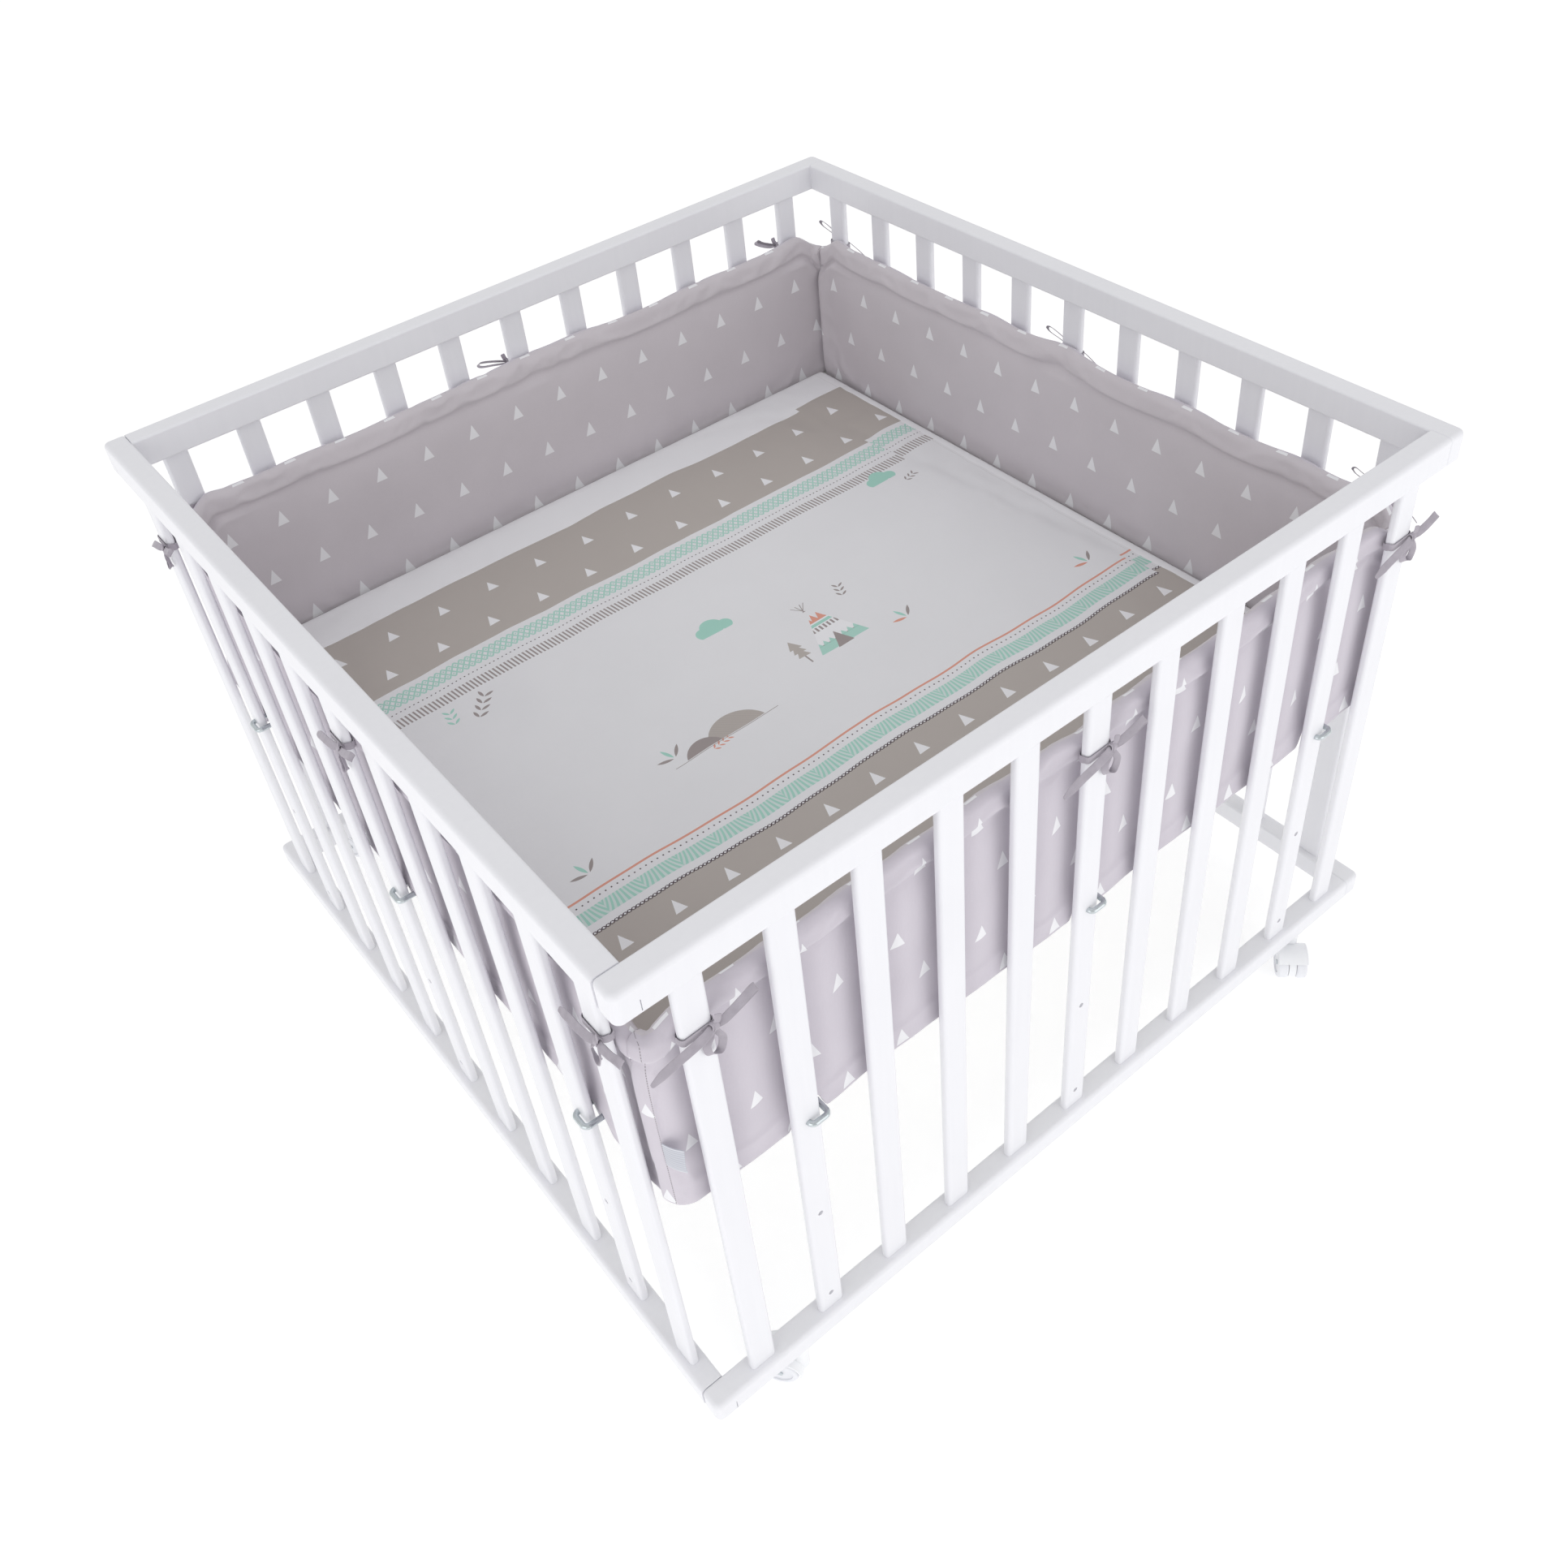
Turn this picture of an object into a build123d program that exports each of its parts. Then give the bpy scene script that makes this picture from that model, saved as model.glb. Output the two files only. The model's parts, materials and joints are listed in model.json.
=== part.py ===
from build123d import *
import os
from math import cos, radians, sin

# Square wooden playpen with a padded fabric insert, on four castors.  Millimetres.
# Origin: on the floor, under the centre of the square.  +Z is up, the front panel faces -Y.
# The four panels are alike.  Each is built as the front panel, then turned about Z.

# ---- driving dimensions: frame ----
OUTER_SIDE = 1038.0        # length and width over the rails
TOP_HEIGHT = 760.0         # floor to the upper face of the top rails
RAIL_WIDTH = 26.0
TOP_RAIL_HEIGHT = 36.0
BOTTOM_RAIL_HEIGHT = 30.0
BOTTOM_CLEARANCE = 62.0    # floor to the underside of the bottom rails, the castors' height
RAIL_OUTER_ROUND = 5.0     # rounding of the long edges on the outside
RAIL_INNER_ROUND = 3.0     # rounding of the long edges on the inside
RAIL_END_ROUND = 8.0       # rounding of the upright corner edge
CORNER_SLOT_WIDTH = 0.9    # shallow upright slot near the free end of each rail
CORNER_SLOT_DEPTH = 1.5
CORNER_SLOT_HEIGHT = 13.0
CORNER_SLOT_INSET = 23.5

# ---- slats ----
SLAT_COUNT = 11
SLAT_PITCH = 90.3
SLAT_WIDTH = 30.0
SLAT_THICKNESS = 10.0
SLAT_ROUND = 4.0
TENON_LENGTH = 14.0        # how far a slat reaches into each rail
MORTISE_CLEARANCE = 0.05
HOOK_SLATS = (2, 6, 10)    # numbered from the panel's left end, seen from outside
LOWEST_HOLE_Z = 119.0
HOLE_STEP = 157.0          # between the three floor heights
HOLE_ROWS = 3

# ---- corner joints ----
DOWEL_RADIUS = 4.0
DOWEL_DEPTH = 13.0         # into each of the two rails
DOWEL_BELOW_TOP = 10.0
BOLT_RADIUS = 2.5
BOLT_DEPTH = 12.0          # threaded into the through rail
CAM_RADIUS = 6.0
CAM_HEIGHT = 12.0
CAM_INSET = 14.0           # cam centre from the butt end
CAM_BOLT_ABOVE_UNDERSIDE = 9.0

# ---- floor hooks ----
WIRE_RADIUS = 3.0
WIRE_CLEARANCE = 0.1       # radial, in the slat's hole
HOOK_SPREAD = 20.0         # between the two legs
HOOK_REACH = 52.0          # from the slat's inner face to the legs' ends
HOOK_BEND = 5.0            # centreline radius
HOOK_BEND_GAP = 0.2        # slat's outer face to where the bends start
HOOK_END_ROUND = 1.8

# ---- soft insert and floor ----
SEAT_GAP = 0.3             # board to hook legs
BOARD_EDGE_GAP = 4.5       # board's edge to the inside of the hem
BOARD_THICKNESS = 8.0
BOARD_CORNER = 10.0
PAD_THICKNESS = 30.0
PAD_SLAT_GAP = 2.5         # slats' inner faces to the pads' outer faces
PAD_HEIGHT = 222.0         # above the board
PAD_ROUND = 9.0
MAT_THICKNESS = 18.0
MAT_GAP = 1.5              # mat to pads
MAT_ROUND = 6.0            # of the upright corners
MAT_TOP_ROUND = 5.4
SKIRT_THICKNESS = 7.0
SKIRT_DROP = 33.0          # below the board's upper face
SKIRT_NOTCH_MARGIN = 2.0   # round the hook legs
TIE_SLATS = (1, 6, 11)
TIE_BELOW_PAD_TOP = 14.3   # ribbon's centre line
TIE_RIBBON = 8.0           # ribbon width
TIE_GAP = 0.5              # ribbon to slat
TIE_THICKNESS = 2.0        # the two layers of the ribbon together
TIE_LOOP_LENGTH = 34.0
TIE_LOOP_WIDTH = 11.0
TIE_TAIL_LENGTH = 42.0
TIE_LOOP_DROOP = 12.0      # degrees off the level
TIE_TAIL_DROOP = 48.0
KNOT_SIZE = 9.0
LABEL_WIDTH = 20.0
LABEL_HEIGHT = 34.0
LABEL_THICKNESS = 1.6
LABEL_ABOVE_BOARD = 57.0   # label's centre
LABEL_EDGE_GAP = 0.5       # from the pad's end

# ---- castors ----
CASTOR_INSET = 113.0       # stem axis from the outer corner, along the rail
CASTOR_TRAIL = 20.0        # stem axis to axle
WHEEL_RADIUS = 20.0
WHEEL_WIDTH = 13.0
WHEEL_ROUND = 3.0
WHEEL_DISH_RADIUS = 14.0   # shallow recess in each wheel's outer face
WHEEL_DISH_DEPTH = 1.5
WEB_WIDTH = 9.0            # of the housing, between the two wheels
WHEEL_SIDE_GAP = 0.5
HOOD_GAP = 2.0             # wheels to the inside of the hood
HOOD_WALL = 2.2
HOOD_FRONT_ANGLE = 185.0   # where the hood ends, about the axle from the trailing side
HOOD_REAR_ANGLE = 42.0
BOSS_RADIUS = 8.5
BOSS_GAP = 0.4             # housing to the socket's flange
STEM_RADIUS = 4.0
STEM_IN_RAIL = 20.0
STEM_IN_BOSS = 12.0
AXLE_RADIUS = 3.0
RUNNING_CLEARANCE = 0.05   # radial, of the axle in the web and the stem in the socket
SOCKET_WALL = 1.6
FLANGE_RADIUS = 9.0
FLANGE_THICKNESS = 1.0
BRAKE_WIDTH = 16.0
BRAKE_THICKNESS = 3.0
BRAKE_LENGTH = 15.0
BRAKE_HUB_RADIUS = 2.8
BRAKE_PIN_RADIUS = 1.5
EAR_THICKNESS = 2.5
EAR_GAP = 0.3
EAR_WALL = 0.8             # round the lever's hub
EAR_FOOT = 5.0             # from the pivot back onto the hood
EAR_FOOT_BELOW = 4.0       # below the pivot
EAR_FOOT_ABOVE = 2.0       # above the pivot
# trailing direction of each castor at rest, in degrees about +Z from +X, and its panel's side
CASTORS = {
    "front_left": (-1, -1, 129.0, False),
    "front_right": (1, -1, 226.0, False),
    "back_left": (-1, 1, 110.0, True),
    "back_right": (1, 1, 10.0, True),
}
PANELS = {"front": 0, "left": -90, "back": 180, "right": 90}
CUT_PAST = 1.0             # how far a cutting tool runs past the face that it opens
NEAR = 0.01                # two faces this close are at one level

# ---- derived sizes ----
HALF = OUTER_SIDE / 2
RAIL_INNER = HALF - RAIL_WIDTH                     # inner face of the rails
RAIL_CENTRE = HALF - RAIL_WIDTH / 2
TOP_RAIL_Z = TOP_HEIGHT - TOP_RAIL_HEIGHT
BOTTOM_RAIL_TOP = BOTTOM_CLEARANCE + BOTTOM_RAIL_HEIGHT
SLAT_OUTER = RAIL_CENTRE + SLAT_THICKNESS / 2
SLAT_INNER = RAIL_CENTRE - SLAT_THICKNESS / 2
HOOK_Z = LOWEST_HOLE_Z + (HOLE_ROWS - 1) * HOLE_STEP
BOARD_Z = HOOK_Z + WIRE_RADIUS + SEAT_GAP
FLOOR_Z = BOARD_Z + BOARD_THICKNESS                # upper face of the board
PAD_OUTER = SLAT_INNER - PAD_SLAT_GAP
PAD_INNER = PAD_OUTER - PAD_THICKNESS
MAT_SIDE = 2 * (PAD_INNER - MAT_GAP)
BOARD_SIDE = 2 * (PAD_OUTER - SKIRT_THICKNESS - BOARD_EDGE_GAP)
PAD_TOP = FLOOR_Z + PAD_HEIGHT
TIE_Z = PAD_TOP - TIE_BELOW_PAD_TOP
LABEL_Z = FLOOR_Z + LABEL_ABOVE_BOARD


def slat_x(number):
    """Centre of a slat along its panel, numbered from 1 at the through end."""
    return (number - (SLAT_COUNT + 1) / 2) * SLAT_PITCH


def block(x0, x1, y0, y1, z0, z1):
    """A box between two corners."""
    return Pos((x0 + x1) / 2, (y0 + y1) / 2, (z0 + z1) / 2) * Box(x1 - x0, y1 - y0, z1 - z0)


def upright(radius, x, y, z0, z1):
    """A cylinder standing along Z."""
    return Pos(x, y, (z0 + z1) / 2) * Cylinder(radius, z1 - z0)


def along_x(radius, x0, x1, y, z):
    """A cylinder lying along X."""
    return Pos((x0 + x1) / 2, y, z) * Rot(0, 90, 0) * Cylinder(radius, x1 - x0)


def along_y(radius, x, y0, y1, z):
    """A cylinder lying along Y."""
    return Pos(x, (y0 + y1) / 2, z) * Rot(90, 0, 0) * Cylinder(radius, y1 - y0)


def slat_prism(number, z0, z1, grow=0.0):
    """A slat's rounded section, stood between two heights."""
    outline = RectangleRounded(SLAT_WIDTH + 2 * grow, SLAT_THICKNESS + 2 * grow, SLAT_ROUND + grow)
    return Pos(slat_x(number), -RAIL_CENTRE, z0) * extrude(outline, z1 - z0)


def rail(underside, height):
    """One rail of the front panel: its left end runs through, its right end butts."""
    body = block(-HALF, RAIL_INNER, -HALF, -RAIL_INNER, underside, underside + height)
    corner = body.edges().filter_by(Axis.Z).sort_by(lambda e: e.center().X + e.center().Y)[0]
    body = fillet(corner, RAIL_END_ROUND)
    inner = [e for e in body.edges().filter_by(Axis.X) if abs(e.center().Y + RAIL_INNER) < NEAR]
    body = fillet(inner, RAIL_INNER_ROUND)
    top, bottom = underside + height, underside

    def on_outside(edge):
        level = edge.center().Z
        flat = abs(level - top) < NEAR or abs(level - bottom) < NEAR
        far = edge.center().Y < -RAIL_CENTRE or edge.center().X < -HALF + NEAR
        return flat and far and edge.center().X < RAIL_INNER - NEAR

    body = fillet([e for e in body.edges() if on_outside(e)], RAIL_OUTER_ROUND)
    slot_x = -HALF + CORNER_SLOT_INSET
    body -= block(slot_x - CORNER_SLOT_WIDTH / 2, slot_x + CORNER_SLOT_WIDTH / 2,
                  -HALF - CUT_PAST, -HALF + CORNER_SLOT_DEPTH,
                  underside + RAIL_OUTER_ROUND, underside + RAIL_OUTER_ROUND + CORNER_SLOT_HEIGHT)
    return body


def corner_joint(underside, height):
    """Dowel, bolt and cam at a panel's butt end, with the holes they need, at one rail."""
    dowel_z = underside + height - DOWEL_BELOW_TOP
    bolt_z = underside + CAM_BOLT_ABOVE_UNDERSIDE
    cam_x = RAIL_INNER - CAM_INSET
    dowel = along_x(DOWEL_RADIUS, RAIL_INNER - DOWEL_DEPTH, RAIL_INNER + DOWEL_DEPTH,
                    -RAIL_CENTRE, dowel_z)
    bolt = along_x(BOLT_RADIUS, cam_x, RAIL_INNER + BOLT_DEPTH, -RAIL_CENTRE, bolt_z)
    cam = upright(CAM_RADIUS, cam_x, -RAIL_CENTRE, underside, underside + CAM_HEIGHT)
    return dowel, bolt - cam, cam


def hook_path(number):
    """Centreline of a floor hook: one leg in the slat's hole, the other past its right edge."""
    x0 = slat_x(number)
    y_out = -(SLAT_OUTER + HOOK_BEND_GAP + HOOK_BEND)
    y_in = -(SLAT_INNER - HOOK_REACH)
    points = [(x0, y_in, HOOK_Z), (x0, y_out, HOOK_Z),
              (x0 + HOOK_SPREAD, y_out, HOOK_Z), (x0 + HOOK_SPREAD, y_in, HOOK_Z)]
    return FilletPolyline(*points, radius=HOOK_BEND)


def floor_hook(number):
    """Bent wire with rounded leg ends."""
    path = hook_path(number)
    start = Plane(origin=path @ 0, z_dir=path % 0)
    wire = sweep(start * Circle(WIRE_RADIUS), path=path)
    ends = [f for f in wire.faces() if f.geom_type == GeomType.PLANE]
    return fillet([f.edges()[0] for f in ends], HOOK_END_ROUND)


def skirt_segments():
    """The fabric below the board on the front side, parted where the hook legs pass."""
    y0, y1 = -PAD_OUTER, -PAD_OUTER + SKIRT_THICKNESS
    z0, z1 = FLOOR_Z - SKIRT_DROP, FLOOR_Z
    margin = WIRE_RADIUS + SKIRT_NOTCH_MARGIN
    cuts = [(slat_x(n) - margin, slat_x(n) + HOOK_SPREAD + margin) for n in HOOK_SLATS]
    starts = [-PAD_OUTER] + [right for left, right in cuts]
    stops = [left for left, right in cuts] + [PAD_OUTER - SKIRT_THICKNESS]
    return [block(a, b, y0, y1, z0, z1) for a, b in zip(starts, stops)]


def pad():
    """A wall pad standing on the board between the mat and the front slats."""
    body = block(-PAD_OUTER, PAD_INNER, -PAD_OUTER, -PAD_INNER, FLOOR_Z, PAD_TOP)
    top = [e for e in body.edges().filter_by(Axis.X) if abs(e.center().Z - PAD_TOP) < NEAR]
    return fillet(top, PAD_ROUND)


def tie(number):
    """A ribbon round a slat with its bow outside: ring, knot, two loops and two tails."""
    x0 = slat_x(number)
    ring_inner = RectangleRounded(SLAT_WIDTH + 2 * TIE_GAP, SLAT_THICKNESS + 2 * TIE_GAP,
                                  SLAT_ROUND + TIE_GAP)
    grow = TIE_GAP + TIE_THICKNESS
    ring_outer = RectangleRounded(SLAT_WIDTH + 2 * grow, SLAT_THICKNESS + 2 * grow, SLAT_ROUND + grow)
    ring = Pos(x0, -RAIL_CENTRE, TIE_Z - TIE_RIBBON / 2) * extrude(ring_outer - ring_inner,
                                                                          TIE_RIBBON)
    face_y = -(SLAT_OUTER + grow)
    knot = Pos(x0, face_y - TIE_THICKNESS, TIE_Z) * Box(KNOT_SIZE, 2 * TIE_THICKNESS, KNOT_SIZE)
    bow = ring + knot
    for side in (-1, 1):
        loop = Pos(side * TIE_LOOP_LENGTH / 2, 0, 0)
        loop *= Box(TIE_LOOP_LENGTH, TIE_THICKNESS, TIE_LOOP_WIDTH)
        tail = Pos(side * TIE_TAIL_LENGTH / 2, 0, 0)
        tail *= Box(TIE_TAIL_LENGTH, TIE_THICKNESS, TIE_RIBBON)
        at_knot = Pos(x0, face_y - TIE_THICKNESS / 2, TIE_Z)
        bow += at_knot * Rot(0, -side * TIE_LOOP_DROOP, 0) * loop
        bow += at_knot * Rot(0, side * TIE_TAIL_DROOP, 0) * tail
    return bow


def care_label():
    """A blank cloth tab sewn beside the corner seam of the front pad."""
    x0 = -PAD_OUTER + LABEL_EDGE_GAP
    return block(x0, x0 + LABEL_WIDTH, -PAD_OUTER - LABEL_THICKNESS, -PAD_OUTER,
                 LABEL_Z - LABEL_HEIGHT / 2, LABEL_Z + LABEL_HEIGHT / 2)


# ---- castor, built with its stem on the Z axis and trailing towards +X ----
WEB_HALF = WEB_WIDTH / 2
WHEEL_INSIDE = WEB_HALF + WHEEL_SIDE_GAP
WHEEL_OUTSIDE = WHEEL_INSIDE + WHEEL_WIDTH
HOOD_INSIDE = WHEEL_RADIUS + HOOD_GAP
HOOD_OUTSIDE = HOOD_INSIDE + HOOD_WALL
BOSS_TOP = BOTTOM_CLEARANCE - FLANGE_THICKNESS - BOSS_GAP
BRAKE_PIVOT_RADIUS = HOOD_OUTSIDE + BRAKE_HUB_RADIUS
BRAKE_PIVOT_X = CASTOR_TRAIL + BRAKE_PIVOT_RADIUS * cos(radians(HOOD_REAR_ANGLE))
BRAKE_PIVOT_Z = WHEEL_RADIUS + BRAKE_PIVOT_RADIUS * sin(radians(HOOD_REAR_ANGLE))


def hood_sector(radius, start, stop, half_width):
    """A slice of a disc about the axle, between two angles."""
    tip = Vector(CASTOR_TRAIL, 0, WHEEL_RADIUS)
    plane = Plane(origin=tip, x_dir=(1, 0, 0), z_dir=(0, -1, 0))
    arc = CenterArc((0, 0), radius, start, stop - start)
    outline = make_face(arc + Line(arc @ 1, (0, 0)) + Line((0, 0), arc @ 0))
    return extrude(plane * outline, half_width, both=True)


def castor_housing(braked):
    """Web between the wheels, hood over them, and the boss that takes the stem."""
    hood = hood_sector(HOOD_OUTSIDE, HOOD_REAR_ANGLE, HOOD_FRONT_ANGLE, WHEEL_OUTSIDE)
    hollow = along_y(HOOD_INSIDE, CASTOR_TRAIL, -WHEEL_OUTSIDE - CUT_PAST, WHEEL_OUTSIDE + CUT_PAST,
                     WHEEL_RADIUS)
    web = along_y(WHEEL_RADIUS - HOOD_GAP, CASTOR_TRAIL, -WEB_HALF, WEB_HALF, WHEEL_RADIUS)
    web += hood_sector(HOOD_OUTSIDE, HOOD_REAR_ANGLE, HOOD_FRONT_ANGLE, WEB_HALF)
    boss = upright(BOSS_RADIUS, 0, 0, WHEEL_RADIUS, BOSS_TOP)
    body = (hood + boss) - hollow + web
    if braked:
        for side in (-1, 1):
            near = side * (BRAKE_WIDTH / 2 + EAR_GAP)
            far = near + side * EAR_THICKNESS
            y0, y1 = sorted((near, far))
            ear = along_y(BRAKE_HUB_RADIUS + EAR_WALL, BRAKE_PIVOT_X, y0, y1, BRAKE_PIVOT_Z)
            ear += block(BRAKE_PIVOT_X - EAR_FOOT, BRAKE_PIVOT_X, y0, y1,
                         BRAKE_PIVOT_Z - EAR_FOOT_BELOW, BRAKE_PIVOT_Z + EAR_FOOT_ABOVE)
            ear -= hollow
            body += ear
        body -= along_y(BRAKE_PIN_RADIUS + RUNNING_CLEARANCE, BRAKE_PIVOT_X,
                        -WHEEL_OUTSIDE, WHEEL_OUTSIDE, BRAKE_PIVOT_Z)
    body -= along_y(AXLE_RADIUS + RUNNING_CLEARANCE, CASTOR_TRAIL, -WHEEL_OUTSIDE, WHEEL_OUTSIDE,
                    WHEEL_RADIUS)
    body -= upright(STEM_RADIUS, 0, 0, BOSS_TOP - STEM_IN_BOSS, BOSS_TOP)
    return body


def castor_stem():
    """Steel pin, fixed in the boss and free to turn in the socket."""
    return upright(STEM_RADIUS, 0, 0, BOSS_TOP - STEM_IN_BOSS, BOTTOM_CLEARANCE + STEM_IN_RAIL)


def castor_wheels():
    """The pair of wheels with rounded treads and a shallow dished face."""
    wheels = []
    for side in (-1, 1):
        y0, y1 = sorted((side * WHEEL_INSIDE, side * WHEEL_OUTSIDE))
        wheel = along_y(WHEEL_RADIUS, CASTOR_TRAIL, y0, y1, WHEEL_RADIUS)
        rims = [e for e in wheel.edges() if e.geom_type == GeomType.CIRCLE]
        wheel = fillet(rims, WHEEL_ROUND)
        dish = sorted((side * (WHEEL_OUTSIDE - WHEEL_DISH_DEPTH), side * (WHEEL_OUTSIDE + CUT_PAST)))
        wheel -= along_y(WHEEL_DISH_RADIUS, CASTOR_TRAIL, *dish, WHEEL_RADIUS)
        wheel -= along_y(AXLE_RADIUS, CASTOR_TRAIL, y0, y1, WHEEL_RADIUS)
        wheels.append(wheel)
    return Compound(children=wheels)


def castor_axle():
    """Steel axle: a press fit in the wheels, a running fit in the web."""
    return along_y(AXLE_RADIUS, CASTOR_TRAIL, -WHEEL_OUTSIDE, WHEEL_OUTSIDE, WHEEL_RADIUS)


def castor_brake():
    """Foot lever with moulded pins that turn in the housing's ears."""
    half = BRAKE_WIDTH / 2
    lever = along_y(BRAKE_HUB_RADIUS, BRAKE_PIVOT_X, -half, half, BRAKE_PIVOT_Z)
    pins = half + EAR_GAP + EAR_THICKNESS
    lever += along_y(BRAKE_PIN_RADIUS, BRAKE_PIVOT_X, -pins, pins, BRAKE_PIVOT_Z)
    top = BRAKE_PIVOT_Z + BRAKE_HUB_RADIUS
    tab = block(BRAKE_PIVOT_X, BRAKE_PIVOT_X + BRAKE_LENGTH, -half, half, top - BRAKE_THICKNESS, top)
    tip = tab.edges().filter_by(Axis.Z).sort_by(Axis.X)[-2:]
    return lever + fillet(tip, BRAKE_THICKNESS)


def castor_socket():
    """Plastic sleeve in the rail that the stem turns in."""
    top = BOTTOM_CLEARANCE + STEM_IN_RAIL + RUNNING_CLEARANCE
    sleeve = upright(STEM_RADIUS + SOCKET_WALL, 0, 0, BOTTOM_CLEARANCE, top)
    sleeve += upright(FLANGE_RADIUS, 0, 0, BOTTOM_CLEARANCE - FLANGE_THICKNESS, BOTTOM_CLEARANCE)
    return sleeve - upright(STEM_RADIUS + RUNNING_CLEARANCE, 0, 0,
                            BOTTOM_CLEARANCE - FLANGE_THICKNESS, top)


def castor_place(side_x, side_y):
    """Where a castor's stem stands on the front or back rail."""
    return side_x * (HALF - CASTOR_INSET), side_y * RAIL_CENTRE


# ---- assemble the nodes ----
nodes = {}
every_slat = range(1, SLAT_COUNT + 1)
rails = {"bottom": rail(BOTTOM_CLEARANCE, BOTTOM_RAIL_HEIGHT), "top": rail(TOP_RAIL_Z, TOP_RAIL_HEIGHT)}
joints = {"bottom": corner_joint(BOTTOM_CLEARANCE, BOTTOM_RAIL_HEIGHT),
          "top": corner_joint(TOP_RAIL_Z, TOP_RAIL_HEIGHT)}

# mortises: the slats' ends bear on the mortise floors
for number in every_slat:
    rails["bottom"] -= slat_prism(number, BOTTOM_RAIL_TOP - TENON_LENGTH,
                                  BOTTOM_RAIL_TOP + CUT_PAST, MORTISE_CLEARANCE)
    rails["top"] -= slat_prism(number, TOP_RAIL_Z - CUT_PAST, TOP_RAIL_Z + TENON_LENGTH,
                               MORTISE_CLEARANCE)

# the holes for dowels, bolts and cams: at the butt end, and where the next panel's parts come in
to_next = Rot(0, 0, -90)
for level in rails:
    dowel, bolt, cam = joints[level]
    for piece in (dowel, bolt, cam):
        rails[level] -= piece
    rails[level] = rails[level] - to_next * dowel - to_next * bolt

# castor sockets go into the front and back bottom rails only
socket_room = upright(STEM_RADIUS + SOCKET_WALL, 0, 0, BOTTOM_CLEARANCE,
                      BOTTOM_CLEARANCE + STEM_IN_RAIL + RUNNING_CLEARANCE)
wheeled_rail = rails["bottom"]
for side_x in (-1, 1):
    x, y = castor_place(side_x, -1)
    wheeled_rail -= Pos(x, y, 0) * socket_room

plain_slats, drilled_slats = [], []
for number in every_slat:
    slat = slat_prism(number, BOTTOM_RAIL_TOP - TENON_LENGTH, TOP_RAIL_Z + TENON_LENGTH)
    if number in HOOK_SLATS:
        for row in range(HOLE_ROWS):
            slat -= along_y(WIRE_RADIUS + WIRE_CLEARANCE, slat_x(number), -HALF, -RAIL_INNER,
                            LOWEST_HOLE_Z + row * HOLE_STEP)
        drilled_slats.append(slat)
    else:
        plain_slats.append(slat)

dowels, bolts, cams, skirts, ties = [], [], [], [], []
for side, angle in PANELS.items():
    turn = Rot(0, 0, angle)
    wheeled = side in ("front", "back")
    nodes[f"bottom_rail_{side}"] = turn * (wheeled_rail if wheeled else rails["bottom"])
    nodes[f"top_rail_{side}"] = turn * rails["top"]
    nodes[f"slats_{side}"] = turn * Compound(children=list(plain_slats))
    nodes[f"hook_slats_{side}"] = turn * Compound(children=list(drilled_slats))
    for row, number in enumerate(HOOK_SLATS, start=1):
        nodes[f"floor_hook_{side}_{row}"] = turn * floor_hook(number)
    nodes[f"wall_pad_{side}"] = turn * pad()
    for level in joints:
        dowel, bolt, cam = joints[level]
        dowels.append(turn * dowel)
        bolts.append(turn * bolt)
        cams.append(turn * cam)
    skirts += [turn * piece for piece in skirt_segments()]
    ties += [turn * tie(number) for number in TIE_SLATS]

nodes["corner_dowels"] = Compound(children=dowels)
nodes["corner_bolts"] = Compound(children=bolts)
nodes["corner_cams"] = Compound(children=cams)
nodes["wall_skirts"] = Compound(children=skirts)
nodes["wall_ties"] = Compound(children=ties)
nodes["care_label"] = care_label()

board = Pos(0, 0, BOARD_Z) * extrude(RectangleRounded(BOARD_SIDE, BOARD_SIDE, BOARD_CORNER),
                                     BOARD_THICKNESS)
nodes["floor_board"] = board
mat = Pos(0, 0, FLOOR_Z) * extrude(RectangleRounded(MAT_SIDE, MAT_SIDE, MAT_ROUND), MAT_THICKNESS)
nodes["floor_mat"] = fillet(mat.faces().sort_by(Axis.Z)[-1].edges(), MAT_TOP_ROUND)

sockets = []
for place, (side_x, side_y, heading, braked) in CASTORS.items():
    x, y = castor_place(side_x, side_y)
    put = Pos(x, y, 0) * Rot(0, 0, heading)
    nodes[f"castor_housing_{place}"] = put * castor_housing(braked)
    nodes[f"castor_stem_{place}"] = put * castor_stem()
    nodes[f"castor_wheels_{place}"] = put * castor_wheels()
    nodes[f"castor_axle_{place}"] = put * castor_axle()
    if braked:
        nodes[f"castor_brake_{place}"] = put * castor_brake()
    sockets.append(put * castor_socket())
nodes["castor_sockets"] = Compound(children=sockets)

os.makedirs("parts", exist_ok=True)
for name, shape in nodes.items():
    export_step(shape, f"parts/{name}.step")
print(len(nodes), "nodes")
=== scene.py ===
# %% [markdown]
# # A slatted playpen and its padded insert
# The wooden frame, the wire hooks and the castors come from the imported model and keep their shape.
# Blender gives them their finish, and makes what is soft: four wall pads, a printed mat, twelve
# ribbon bows and a small cloth tab. Everything is in metres, and the front panel faces -Y.

import json
import math

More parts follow.
